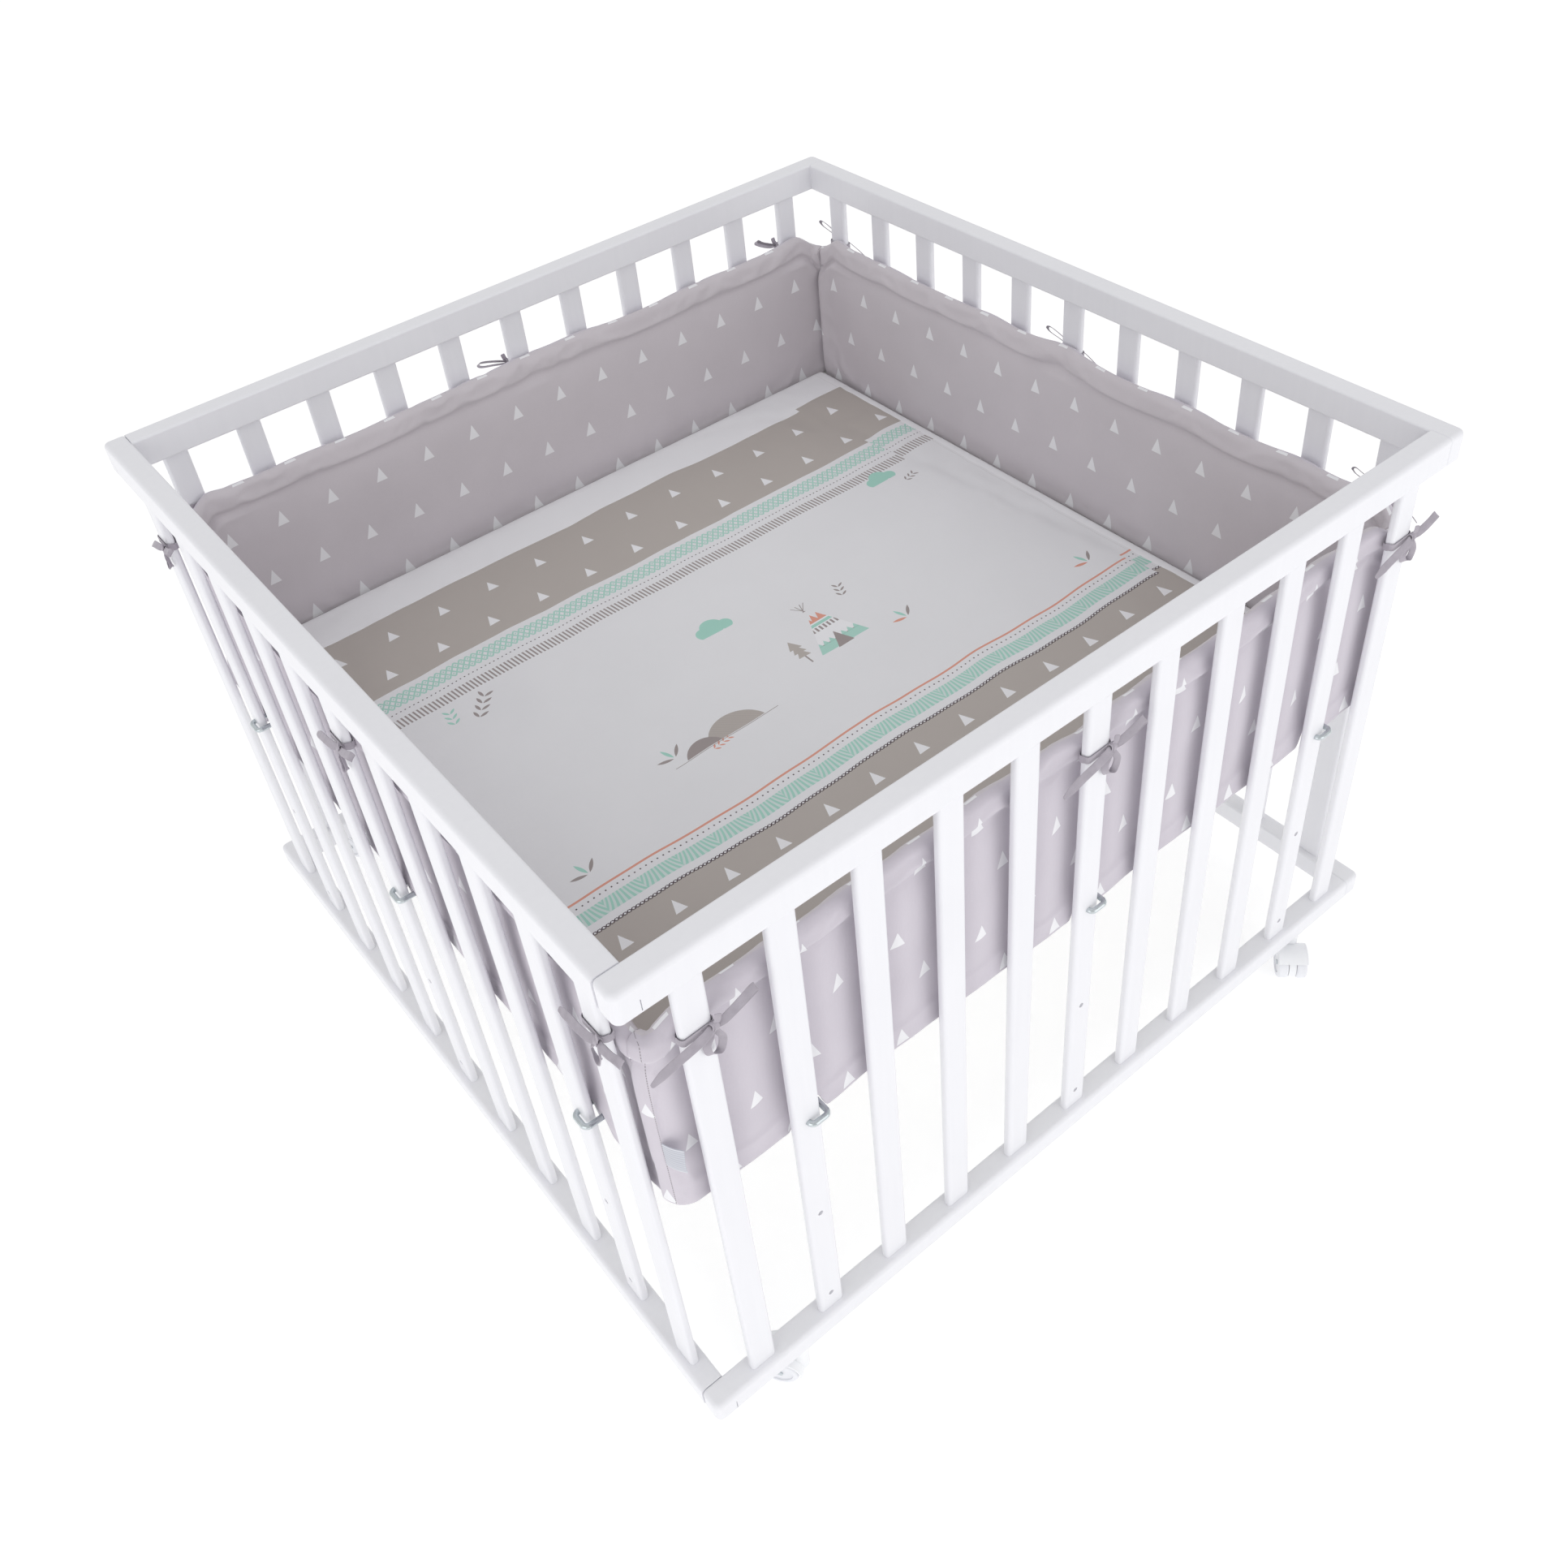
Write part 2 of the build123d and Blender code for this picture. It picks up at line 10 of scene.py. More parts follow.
import bpy
import numpy as np
from mathutils import Matrix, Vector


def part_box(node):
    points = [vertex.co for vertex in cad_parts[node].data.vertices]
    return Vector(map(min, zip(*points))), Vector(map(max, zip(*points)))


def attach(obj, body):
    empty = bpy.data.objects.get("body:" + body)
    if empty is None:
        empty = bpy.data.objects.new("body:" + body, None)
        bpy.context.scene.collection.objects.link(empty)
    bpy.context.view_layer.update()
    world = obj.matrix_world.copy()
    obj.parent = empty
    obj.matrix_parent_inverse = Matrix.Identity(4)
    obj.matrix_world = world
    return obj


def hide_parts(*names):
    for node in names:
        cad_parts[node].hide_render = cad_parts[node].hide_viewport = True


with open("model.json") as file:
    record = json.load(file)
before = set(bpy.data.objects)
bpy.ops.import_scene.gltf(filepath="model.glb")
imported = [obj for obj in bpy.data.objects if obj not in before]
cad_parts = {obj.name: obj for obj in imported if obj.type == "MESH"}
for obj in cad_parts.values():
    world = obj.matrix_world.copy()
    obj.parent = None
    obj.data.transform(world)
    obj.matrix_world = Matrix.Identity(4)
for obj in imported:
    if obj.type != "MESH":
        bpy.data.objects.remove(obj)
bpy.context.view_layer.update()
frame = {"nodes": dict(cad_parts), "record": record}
MM = 0.001

# %% [markdown]
# ## Small tools
# Every soft piece is made the same way: arrays of points and faces become a mesh, the mesh becomes an
# object in the scene, and one subdivision smooths it.


# %% Small tools
def show(name, data):
    """An object for a mesh, light or camera, in the scene."""
    piece = bpy.data.objects.new(name, data)
    bpy.context.scene.collection.objects.link(piece)
    return piece


def mesh_from(name, points, faces):
    """A mesh from an array of points and a list or array of faces."""
    mesh = bpy.data.meshes.new(name)
    mesh.from_pydata(points.reshape(-1, 3).tolist(), [], [list(map(int, face)) for face in faces])
    return mesh


def quads(*corners):
    """Faces from four arrays, one for each corner in order."""
    return np.stack(corners, axis=-1).reshape(-1, 4)


def lay_out(mesh, where):
    """Gives each face's corners their place on the flat cloth, as the map named cloth."""
    mesh.uv_layers.new(name="cloth").data.foreach_set("uv", where.reshape(-1).astype(np.float32))


def set_points(piece, points):
    """Moves a piece's points."""
    piece.data.vertices.foreach_set("co", points.reshape(-1).astype(np.float32))


def refine(piece):
    """One smooth subdivision, the same in the view and the render."""
    finer = piece.modifiers.new("finer", "SUBSURF")
    finer.levels = finer.render_levels = 1


def axes_matrix(right, up, backward, place):
    """The matrix that puts an object at a place with these three axes."""
    turn = np.eye(4)
    turn[:3, 0], turn[:3, 1], turn[:3, 2], turn[:3, 3] = right, up, backward, place
    return Matrix(turn.tolist())


print("tools ready")

# %% [markdown]
# ## The camera
# The eye stands in front of the near left corner, above the top rail, and looks down into the pen.
# Its place and three turns are all that is needed: yaw about the upright, pitch, then roll.

# %% Camera
EYE = (-0.7772, -1.1609, 1.633)
YAW, PITCH, ROLL = 0.6138, -0.7175, -0.1031
LENS, SENSOR = 35.117, 36.0
SHIFT = (-0.0109, -0.0683)


def add_camera():
    """Forward comes from yaw and pitch. Right starts level with the ground, then roll turns it and up."""
    forward = np.array([math.sin(YAW) * math.cos(PITCH), math.cos(YAW) * math.cos(PITCH),
                        math.sin(PITCH)])
    level = np.array([math.cos(YAW), -math.sin(YAW), 0.0])
    upward = np.cross(level, forward)
    right = math.cos(ROLL) * level + math.sin(ROLL) * upward
    up = -math.sin(ROLL) * level + math.cos(ROLL) * upward
    data = bpy.data.cameras.new("eye")
    data.lens, data.sensor_width = LENS, SENSOR
    data.shift_x, data.shift_y = SHIFT
    camera = show("eye", data)
    camera.matrix_world = axes_matrix(right, up, -forward, EYE)
    bpy.context.scene.camera = camera
    return camera


print("camera at", add_camera().location[:])

# %% [markdown]
# ## Shader arithmetic
# A material is easier to read as sums than as boxes and wires. `Field` wraps one socket, so that
# `1 - mask` or `a * b` adds the Math node, and `Recipe` holds one material and adds any other node.


# %% Field and Recipe
class Field:
    """A value or colour inside a material. Arithmetic on it adds Math nodes."""

    def __init__(self, recipe, socket):
        self.recipe, self.socket = recipe, socket

    def math(self, operation, *values):
        return self.recipe.node("ShaderNodeMath", {"operation": operation}, dict(enumerate(values)))

    def __add__(self, other): return self.math("ADD", self, other)
    def __radd__(self, other): return self.math("ADD", other, self)
    def __sub__(self, other): return self.math("SUBTRACT", self, other)
    def __rsub__(self, other): return self.math("SUBTRACT", other, self)
    def __mul__(self, other): return self.math("MULTIPLY", self, other)
    def __truediv__(self, other): return self.math("DIVIDE", self, other)
    def __lt__(self, other): return self.math("LESS_THAN", self, other)
    def __gt__(self, other): return self.math("GREATER_THAN", self, other)
    def __abs__(self): return self.math("ABSOLUTE", self)
    def fraction(self): return self.math("FRACT", self)
    def whole(self): return self.math("FLOOR", self)
    def sine(self): return self.math("SINE", self)
    def most(self, other): return self.math("MAXIMUM", self, other)


class Recipe:
    """One material: a Principled shader, and the nodes that feed it."""

    def __init__(self, name, **constants):
        self.material = bpy.data.materials.new(name)
        self.material.use_nodes = True
        self.tree = self.material.node_tree
        self.shader = self.tree.nodes["Principled BSDF"]
        for socket, value in constants.items():
            self.shader.inputs[socket.replace("_", " ")].default_value = value

    def node(self, kind, settings=None, inputs=None, out=0):
        """Adds a node: its settings or ramp stops first, then the values or links of its sockets."""
        made = self.tree.nodes.new(kind)
        for key, value in (settings or {}).items():
            if key == "stops":
                ramp = made.color_ramp
                while len(ramp.elements) < len(value):
                    ramp.elements.new(0.5)
                for element, (place, colour) in zip(ramp.elements, value):
                    element.position, element.color = place, (*colour, 1)
            else:
                setattr(made, key, value)
        for key, value in (inputs or {}).items():
            self.put(made.inputs[key], value)
        return Field(self, made.outputs[out])

    def put(self, socket, value):
        """Sets a socket to a number or colour, or links a field to it."""
        if isinstance(value, Field):
            self.tree.links.new(value.socket, socket)
        elif isinstance(value, tuple) and len(value) == 3 and socket.type == "RGBA":
            socket.default_value = (*value, 1)
        else:
            socket.default_value = value

    def feed(self, **fields):
        """Links fields to the shader's own sockets."""
        for socket, value in fields.items():
            self.put(self.shader.inputs[socket.replace("_", " ")], value)
        return self.material

    def place(self):
        """A point of the piece in the row frame, in metres."""
        return self.node("ShaderNodeTexCoord", out="Object")

    def cloth_map(self):
        """The piece's own UV map, in metres of cloth."""
        return self.node("ShaderNodeUVMap", {"uv_map": "cloth"})

    def split(self, vector):
        """The three parts of a vector."""
        first = self.node("ShaderNodeSeparateXYZ", inputs={0: vector})
        return tuple(Field(self, output) for output in first.socket.node.outputs)

    def noise(self, vector, scale, detail=3.0, rough=0.5):
        """Soft random values about one half."""
        return self.node("ShaderNodeTexNoise", inputs={"Vector": vector, "Scale": scale,
                                                       "Detail": detail, "Roughness": rough})

    def drawn(self, vector, sizes, detail, rough=0.5, turn=(0.0, 0.0, 0.0)):
        """Noise that changes at its own rate along each axis of the turned vector."""
        turned_vector = self.node("ShaderNodeMapping", inputs={"Vector": vector, "Scale": sizes,
                                                               "Rotation": turn})
        return self.noise(turned_vector, 1.0, detail, rough)

    def mix(self, factor, low, high):
        """A colour between two colours."""
        return self.node("ShaderNodeMix", {"data_type": "RGBA"}, {0: factor, 6: low, 7: high}, 2)

    def bump(self, height, distance, strength=1.0, normal=None):
        """The surface normal over a height in metres times distance."""
        inputs = {"Height": height, "Distance": distance, "Strength": strength}
        if normal is not None:
            inputs["Normal"] = normal
        return self.node("ShaderNodeBump", inputs=inputs)


def paint(red, green, blue):
    """A colour as light, from its three parts out of 255 as a colour chart gives them."""
    return tuple(((part / 255 + 0.055) / 1.055) ** 2.4 for part in (red, green, blue))


print("helpers ready")

# %% [markdown]
# ## Hard finishes
# The rails and slats are wood under sprayed white lacquer: satin, very slightly pebbled, with a hint of
# the grain telegraphing through and a touch less gloss where hands rub. The hooks are bright zinc-plated
# wire. The castors are moulded plastic, which is smoother and a little bluer than the lacquer.


# %% White lacquer on wood
def lacquer():
    """Grain is noise drawn out along the upright, pebble is fine noise, and both stay faint."""
    recipe = Recipe("white_lacquer", Coat_Weight=0.18, Coat_Roughness=0.22, IOR=1.48)
    place = recipe.place()
    grain = recipe.drawn(place, (150.0, 150.0, 9.0), 4.0)
    pebble = recipe.noise(place, 900.0, 2.0)
    cloudy = recipe.noise(place, 7.0, 3.0)
    tone = cloudy * 0.6 + grain * 0.4
    colour = recipe.mix(tone, paint(229, 229, 234), paint(239, 239, 243))
    height = grain * 0.6 + pebble * 0.4
    return recipe.feed(Base_Color=colour, Roughness=0.30 + cloudy * 0.14,
                       Normal=recipe.bump(height, 0.00012, 0.35))


LACQUER = lacquer()
print("made", LACQUER.name)


# %% Zinc, plastics, beech and board
def zinc():
    """Bright plating: a cool metal whose gloss is broken by fine drawn lines and faint clouds."""
    recipe = Recipe("zinc_steel", Metallic=1.0)
    place = recipe.place()
    drawn = recipe.drawn(place, (2200.0, 260.0, 2200.0), 3.0)
    cloudy = recipe.noise(place, 160.0, 3.0)
    colour = recipe.mix(cloudy, paint(176, 184, 188), paint(216, 222, 224))
    return recipe.feed(Base_Color=colour, Roughness=0.14 + cloudy * 0.16,
                       Normal=recipe.bump(drawn, 0.00005, 0.4))


def plastic(name, dark, light, gloss):
    """Moulded plastic: nearly even colour, with the soft orange-peel of a moulding."""
    recipe = Recipe(name, IOR=1.5)
    place = recipe.place()
    peel = recipe.noise(place, 480.0, 2.0)
    cloudy = recipe.noise(place, 45.0, 3.0)
    return recipe.feed(Base_Color=recipe.mix(cloudy, dark, light), Roughness=gloss + cloudy * 0.12,
                       Normal=recipe.bump(peel, 0.00008, 0.3))


def wood(name, dark, light, along):
    """Bare or coated wood: grain is noise drawn out along one axis."""
    recipe = Recipe(name)
    place = recipe.place()
    grain = recipe.drawn(place, along, 5.0, 0.6)
    return recipe.feed(Base_Color=recipe.mix(grain, dark, light), Roughness=0.45 + grain * 0.2,
                       Normal=recipe.bump(grain, 0.0002, 0.4))


ZINC = zinc()
HOUSING = plastic("white_plastic", paint(236, 237, 240), paint(247, 248, 250), 0.26)
WHEEL = plastic("wheel_plastic", paint(228, 229, 234), paint(240, 241, 245), 0.34)
GREY = plastic("grey_plastic", paint(150, 151, 156), paint(172, 173, 178), 0.4)
BEECH = wood("beech", paint(196, 156, 112), paint(226, 190, 146), (30.0, 30.0, 600.0))
BOARD = wood("board", paint(226, 226, 222), paint(240, 240, 237), (60.0, 60.0, 60.0))
FINISHES = {"white_lacquer": LACQUER, "zinc_steel": ZINC, "white_plastic": HOUSING,
            "wheel_plastic": WHEEL, "grey_plastic": GREY, "beech": BEECH, "board": BOARD}
for part in frame["record"]["subparts"]:
    if part["material_slot"] in FINISHES:
        materials = frame["nodes"][part["node"]].data.materials
        materials.clear()
        materials.append(FINISHES[part["material_slot"]])

# %% [markdown]
# ## Printed cotton
# The wall pads wear a plain-weave cotton, lilac-grey outside and taupe inside, with small white
# triangles in staggered rows. The pattern is worked out from the cloth's own map, in metres, so it
# bends with the folds. The weave touches the colour a little, and the bump a little more.


# %% Triangles and weave
COTTON = {"Sheen_Roughness": 0.5, "Specular_IOR_Level": 0.25}
TRIANGLE_WIDE, TRIANGLE_TALL = 15 * MM, 20 * MM
COLUMN, ROW = 67 * MM, 71.5 * MM
INSIDE_SHIFT = 14 * ROW     # the inner side's map starts this much higher than the outer side's


def triangles(across, up, column, row, wide, tall):
    """One where a triangle is: each cell's own place, and inside two sides that lean to the tip."""
    line = (up / row + 0.5).whole()
    lean = (line * 0.5).fraction()
    along = across / column - lean
    from_middle = abs(along - (along + 0.5).whole()) * column
    from_centre = up - line * row
    above_base = from_centre > -tall / 2
    return above_base * (from_middle < (tall / 2 - from_centre) * (wide / tall / 2))


def weave(recipe, place):
    """Plain weave seen from afar: the mean of three noises, each drawn out along its own axis."""
    fine, long = 1500.0, 260.0      # how often the noise changes across a thread and along it
    first, second, third = (recipe.drawn(place, sizes, 2.0) for sizes in (
        (fine, long, fine), (long, fine, fine), (fine, fine, long)))
    return (first + second + third) / 3


def stitches(along, away, length=3.4 * MM, half_width=0.45 * MM):
    """Dashes of thread on the line where away is nought."""
    return (abs(away) < half_width) * ((along / length).fraction() < 0.68)


def wall_cotton():
    """Base colour by side, triangles and stitch lines over it, then weave and soft creases as bump."""
    recipe = Recipe("wall_fabric", Sheen_Weight=0.25, **COTTON)
    along, up, _ = recipe.split(recipe.cloth_map())
    place = recipe.place()
    threads = weave(recipe, place)
    cloudy = recipe.noise(place, 14.0, 3.0)
    inside = up > INSIDE_SHIFT / 2
    tone = threads * 0.55 + cloudy * 0.45
    outer = recipe.mix(tone, paint(194, 188, 197), paint(214, 208, 217))
    inner = recipe.mix(tone, paint(196, 190, 195), paint(216, 210, 215))
    ground = recipe.mix(inside, outer, inner)
    shapes = triangles(along, up, COLUMN, ROW, TRIANGLE_WIDE, TRIANGLE_TALL)
    printed = recipe.mix(shapes * 0.96, ground, paint(238, 238, 241))
    height_here = up - inside * INSIDE_SHIFT
    seam = STITCH_UP - inside * (PRINT_UP_IN - PRINT_UP_OUT)
    thread = stitches(along, height_here - seam).most(stitches(up, abs(along) - CORNER_SEAM))
    sewn = recipe.mix(thread * 0.75, printed, paint(120, 113, 118))
    creases = recipe.drawn(place, (34.0, 34.0, 16.0), 4.0, 0.55)
    height = threads * 0.12 + creases * 0.9 - thread * 0.5
    return recipe.feed(Base_Color=sewn, Roughness=0.78 + threads * 0.15,
                       Normal=recipe.bump(height, 0.0016, 0.55))


# %% [markdown]
# ## Wall pads
# Each wall is a thin padded panel. Its foot stands on the floor board, its top is sewn off as a narrow
# tube for the ribbons, and the outer cloth runs on down past the board as a loose hem. One closed
# surface is made by carrying that section along the wall. One end of a wall turns round its corner and
# the other slips in behind the next wall's turned end. Then cloth simulation blows the wall up with its
# seams held, so the puckers beside the seams are real ones, and the slats press it flat.

# %% Sizes from the frame
pad_low, pad_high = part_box("wall_pad_front")
PAD_LEFT, PAD_RIGHT = pad_low.x, pad_high.x
PAD_OUT, PAD_IN = -pad_low.y, -pad_high.y
BOARD_TOP, PAD_TOP = pad_low.z, pad_high.z
HEM_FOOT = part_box("wall_skirts")[0].z
ten_pitches, eight_pitches = (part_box(name)[1].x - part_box(name)[0].x
                              for name in ("slats_front", "hook_slats_front"))
SLAT_PITCH = (ten_pitches - eight_pitches) / 2
SLAT_WIDTH = ten_pitches - 10 * SLAT_PITCH
SLAT_BACK, SLAT_FACE = (-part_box("slats_front")[corner].y for corner in (1, 0))
SLATS = (np.arange(11) - 5) * SLAT_PITCH
HOOKS = [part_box(f"floor_hook_front_{n}") for n in (1, 2, 3)]
WIRE_TOP = HOOKS[0][1].z
WIRE_RADIUS = (WIRE_TOP - HOOKS[0][0].z) / 2
STITCH_DROP = 30 * MM       # the tube's seam, below the crest
CREST = PAD_TOP + 1 * MM
STITCH_UP = CREST - STITCH_DROP
PRINT_UP_OUT, PRINT_UP_IN = 497.5 * MM, 531 * MM    # height of one row of triangles on each side
SET_BACK = 1.5 * MM         # the outer cloth before it is blown up, in from the room it may fill
CORNER_ROUND = 26 * MM      # the outer cloth's radius round a corner, seen from above
CORNER_SEAM = 496.3 * MM    # the upright seam, along the cloth from the wall's middle
TUCK = 8 * MM               # how far a wall's far end slips in behind its neighbour's round corner
TUCK_DEPTH = 1.6 * MM       # and how far in it moves there
SLIT_HALF = (5.5 * MM, 8.5 * MM)    # from a hook's leg: the hem's slit is open to here, closed by there
TIES = (SLATS[0], SLATS[5], SLATS[10])
print(f"slat pitch {SLAT_PITCH * 1000:.1f} mm, width {SLAT_WIDTH * 1000:.0f} mm")


# %% Smooth steps and waves
def ease(start, end, value):
    """Nought before start, one after end, and smooth between."""
    t = np.clip((value - start) / (end - start), 0, 1)
    return t * t * (3 - 2 * t)


def waves(a, b, size, seed, count=9):
    """Soft random height over two parameters: a sum of sines in random directions, about -1 to 1."""
    pick = np.random.default_rng(seed)
    total = np.zeros(np.broadcast(a, b).shape)
    for _ in range(count):
        heading, phase = pick.uniform(0, 2 * np.pi, 2)
        pitch = size * pick.uniform(0.6, 1.7)
        total += np.sin((a * np.cos(heading) + b * np.sin(heading)) * 2 * np.pi / pitch + phase)
    return total / np.sqrt(count * 1.5)


def corner_turn(along):
    """How far into a corner a station is, from nought beside the last tie to one near the wall's end."""
    through_end = ease(SLATS[10] + 2 * MM, -PAD_LEFT - 10 * MM, -along)
    butt_end = ease(SLATS[10] - 16 * MM, PAD_RIGHT - 2 * MM, along)
    return through_end + butt_end


def crest_height(along, seed):
    """The pad's top edge: up at the ties, a shallow dip between them, and a deeper one at corners."""
    between = np.sin(np.pi * np.clip(np.abs(along) / SLATS[10], 0, 1)) ** 2
    dip = 2 * MM * between + 20 * MM * corner_turn(along)
    return CREST - dip + 1.2 * MM * waves(along, 0, 0.12, seed)


def hem_height(along, seed):
    """The hem's lower edge: nearly straight, and slit up over each of the hooks' legs."""
    height = HEM_FOOT + 0.8 * MM + 0.9 * MM * waves(along, 0, 0.16, seed + 50)
    for low, high in HOOKS:
        for leg in (low.x + WIRE_RADIUS, high.x - WIRE_RADIUS):
            clear = 1 - ease(*SLIT_HALF, np.abs(along - leg))
            height = height + (WIRE_TOP + 2.5 * MM - height) * clear
    return height


# %% The wall's section, as rows of points
SKIRT_ROWS, BODY_ROWS, TUBE_ROWS, LEDGE_ROWS = 8, 30, 8, 3
HEM_INSIDE = PAD_OUT - 6.5 * MM


def wall_section(along, seed):
    """Depth and height of each point round the section at each station, and the kind of each row.
    Up the outer side from the hem to the crest, then down the inner side, under the foot and down
    the hem's inside. The body bellies out between foot and seam, the tube is an oval above it."""
    crest, hem = crest_height(along, seed), hem_height(along, seed)
    seam = crest - STITCH_DROP
    skirt = np.linspace(0, 1, SKIRT_ROWS, endpoint=False)
    body = np.linspace(0, 1, BODY_ROWS, endpoint=False)
    tube = np.linspace(0, 1, TUBE_ROWS)
    to_tie = np.min(np.abs(np.subtract.outer(along, TIES)), axis=-1)
    middle = PAD_OUT - 13 * MM + 5 * MM * np.exp(-(to_tie / (22 * MM)) ** 2)
    half_tube = 8.5 * MM * np.sqrt(1 - (2 * tube - 1) ** 4) + 4 * MM * (1 - tube) ** 2
    level, rows = np.ones_like(along), []
    for t in skirt:
        rows.append((level * (PAD_OUT - SET_BACK), hem + (BOARD_TOP - hem) * t, "skirt"))
    for t in body:
        depth = PAD_OUT - SET_BACK - 8 * MM * (1 - math.sqrt(1 - t ** 9))
        rows.append((level * depth, BOARD_TOP + (seam - BOARD_TOP) * t, "outer"))
    for t, half in zip(tube, half_tube):
        rows.append((middle + half, seam + (crest - seam) * t, "tube"))
    for t, half in zip(tube[-2::-1], half_tube[-2::-1]):
        rows.append((middle - half, seam + (crest - seam) * t, "tube"))
    for t in body[:0:-1]:
        pinch = 1 - math.sqrt(1 - (2 * t - 1) ** 8)
        depth = PAD_IN + 2 * MM + 9 * MM * pinch
        rows.append((level * depth, BOARD_TOP + (seam - BOARD_TOP) * t, "inner"))
    for t in np.linspace(0, 1, LEDGE_ROWS, endpoint=False):
        depth = PAD_IN + 4 * MM + (HEM_INSIDE - PAD_IN - 4 * MM) * t
        rows.append((level * depth, level * (BOARD_TOP + 0.8 * MM), "foot"))
    for t in np.linspace(1, 0, SKIRT_ROWS + 1):
        rows.append((level * HEM_INSIDE, hem + (BOARD_TOP + 0.4 * MM - hem) * t, "lining"))
    depth, height, kind = zip(*rows)
    return np.stack(depth, axis=1), np.stack(height, axis=1), np.array(kind)


def ring_mesh(name, points, flat, first_inner):
    """A closed mesh from stations of closed rings: quads between rings, and at each end a strip of
    quads that joins the outer half of the ring to its inner half. The map is in metres of cloth."""
    stations, around = points.shape[:2]
    index = np.arange(stations * around).reshape(stations, around)
    nxt = np.roll(index, -1, axis=1)
    half = np.arange(around // 2 - 1)
    across = around - 1 - half
    near = quads(index[0, half], index[0, across], index[0, across - 1], index[0, half + 1])
    far = quads(index[-1, half + 1], index[-1, across - 1], index[-1, across], index[-1, half])
    faces = np.concatenate([quads(index[:-1], nxt[:-1], nxt[1:], index[1:]), near, far])
    mesh = mesh_from(name, points, faces)
    corner_points = faces.reshape(-1)
    where = flat.reshape(-1, 2)[corner_points].reshape(-1, 4, 2)
    inner = (corner_points.reshape(-1, 4) % around >= first_inner).sum(axis=1) > 2
    where[:, :, 1] += np.where(inner, INSIDE_SHIFT - PRINT_UP_IN, -PRINT_UP_OUT)[:, None]
    lay_out(mesh, where)
    mesh.shade_smooth()
    return show(name, mesh)


# %% [markdown]
# ### Blowing up a closed cloth
# Cloth simulation with a little pressure and no gravity fills the shape as wadding would. Seam points
# are pinned. The cloth is cut a little large, so it gathers beside them. No point may travel further
# than its reach, which keeps the pad in the room that the frame leaves it.


# %% Cloth simulation
SIMULATED_FRAMES = 18


def coordinates(mesh):
    """All of a mesh's points as one array."""
    points = np.empty(len(mesh.vertices) * 3, np.float32)
    mesh.vertices.foreach_get("co", points)
    return points.reshape(-1, 3).astype(float)


def inflate(piece, pinned, reach, pressure=4.0, surplus=0.02):
    """Runs the cloth, then takes each point's travel, cut to its reach, into the mesh."""
    group = piece.vertex_groups.new(name="sewn")
    group.add(np.flatnonzero(pinned).tolist(), 1.0, "REPLACE")
    cloth = piece.modifiers.new("cloth", "CLOTH")
    settings = cloth.settings
    settings.quality = 4
    settings.mass = 0.2
    settings.tension_stiffness = settings.compression_stiffness = 12
    settings.shear_stiffness = 4
    settings.bending_stiffness = 0.25
    settings.use_pressure = True
    settings.uniform_pressure_force = pressure
    settings.shrink_min = -surplus
    settings.vertex_group_mass = "sewn"
    settings.effector_weights.gravity = 0
    cloth.collision_settings.use_collision = False
    cloth.point_cache.frame_start, cloth.point_cache.frame_end = 1, SIMULATED_FRAMES
    for step in range(1, SIMULATED_FRAMES + 1):
        bpy.context.scene.frame_set(step)
    shaped = piece.evaluated_get(bpy.context.evaluated_depsgraph_get()).data
    rest, moved = coordinates(piece.data), coordinates(shaped)
    travel = moved - rest
    length = np.linalg.norm(travel, axis=1, keepdims=True)
    allowed = np.asarray(reach).reshape(-1, 1)
    travel *= np.tanh(length / allowed) * allowed / np.maximum(length, 1e-9)
    piece.modifiers.remove(cloth)
    piece.vertex_groups.remove(group)
    bpy.context.scene.frame_set(1)
    return rest + travel


# %% Four walls
TURNS = {"front": 0, "left": -90, "back": 180, "right": 90}
STATIONS, CORNER_STATIONS = 200, 12
STRAIGHT_WITHIN = 6 * MM
END_GAP = 0.4 * MM
FLAT_STATION = 0.3          # where along the wall the section's heights are taken for its flat map


def turned(points, degrees):
    """Points turned about the upright through the pen's middle, by a quarter turn or two."""
    c, s = round(math.cos(math.radians(degrees))), round(math.sin(math.radians(degrees)))
    return np.stack([points[..., 0] * c - points[..., 1] * s, points[..., 0] * s + points[..., 1] * c,
                     points[..., 2]], axis=-1)


def in_gap(along, height):
    """One in the middle of a gap between slats, nought behind a slat, and fading towards the hem."""
    gap = np.min(np.abs(along[..., None] - SLATS), axis=-1)
    fade = 0.15 + 0.85 * ease(HEM_FOOT, BOARD_TOP + 45 * MM, height)
    return ease(SLAT_WIDTH / 2 + 1 * MM, SLAT_PITCH / 2, gap) * fade


def round_the_corner(station, depth, bend):
    """Past the bend, rows turn a quarter circle about one upright line, each at its own radius. The
    closer a row lies to that line, within STRAIGHT_WITHIN, the more it runs on straight instead."""
    centre = PAD_OUT - SET_BACK - CORNER_ROUND
    radius = np.clip(depth - centre, 0, None)
    past = np.clip(bend - station, 0, CORNER_ROUND)
    turn = past / CORNER_ROUND * np.pi / 2
    share = np.clip(radius / STRAIGHT_WITHIN, 0, 1)
    moved = bend - share * radius * np.sin(turn) - (1 - share) * past
    deeper = depth - share * radius * (1 - np.cos(turn))
    return np.where(past > 0, moved, station), np.where(past > 0, deeper, depth)


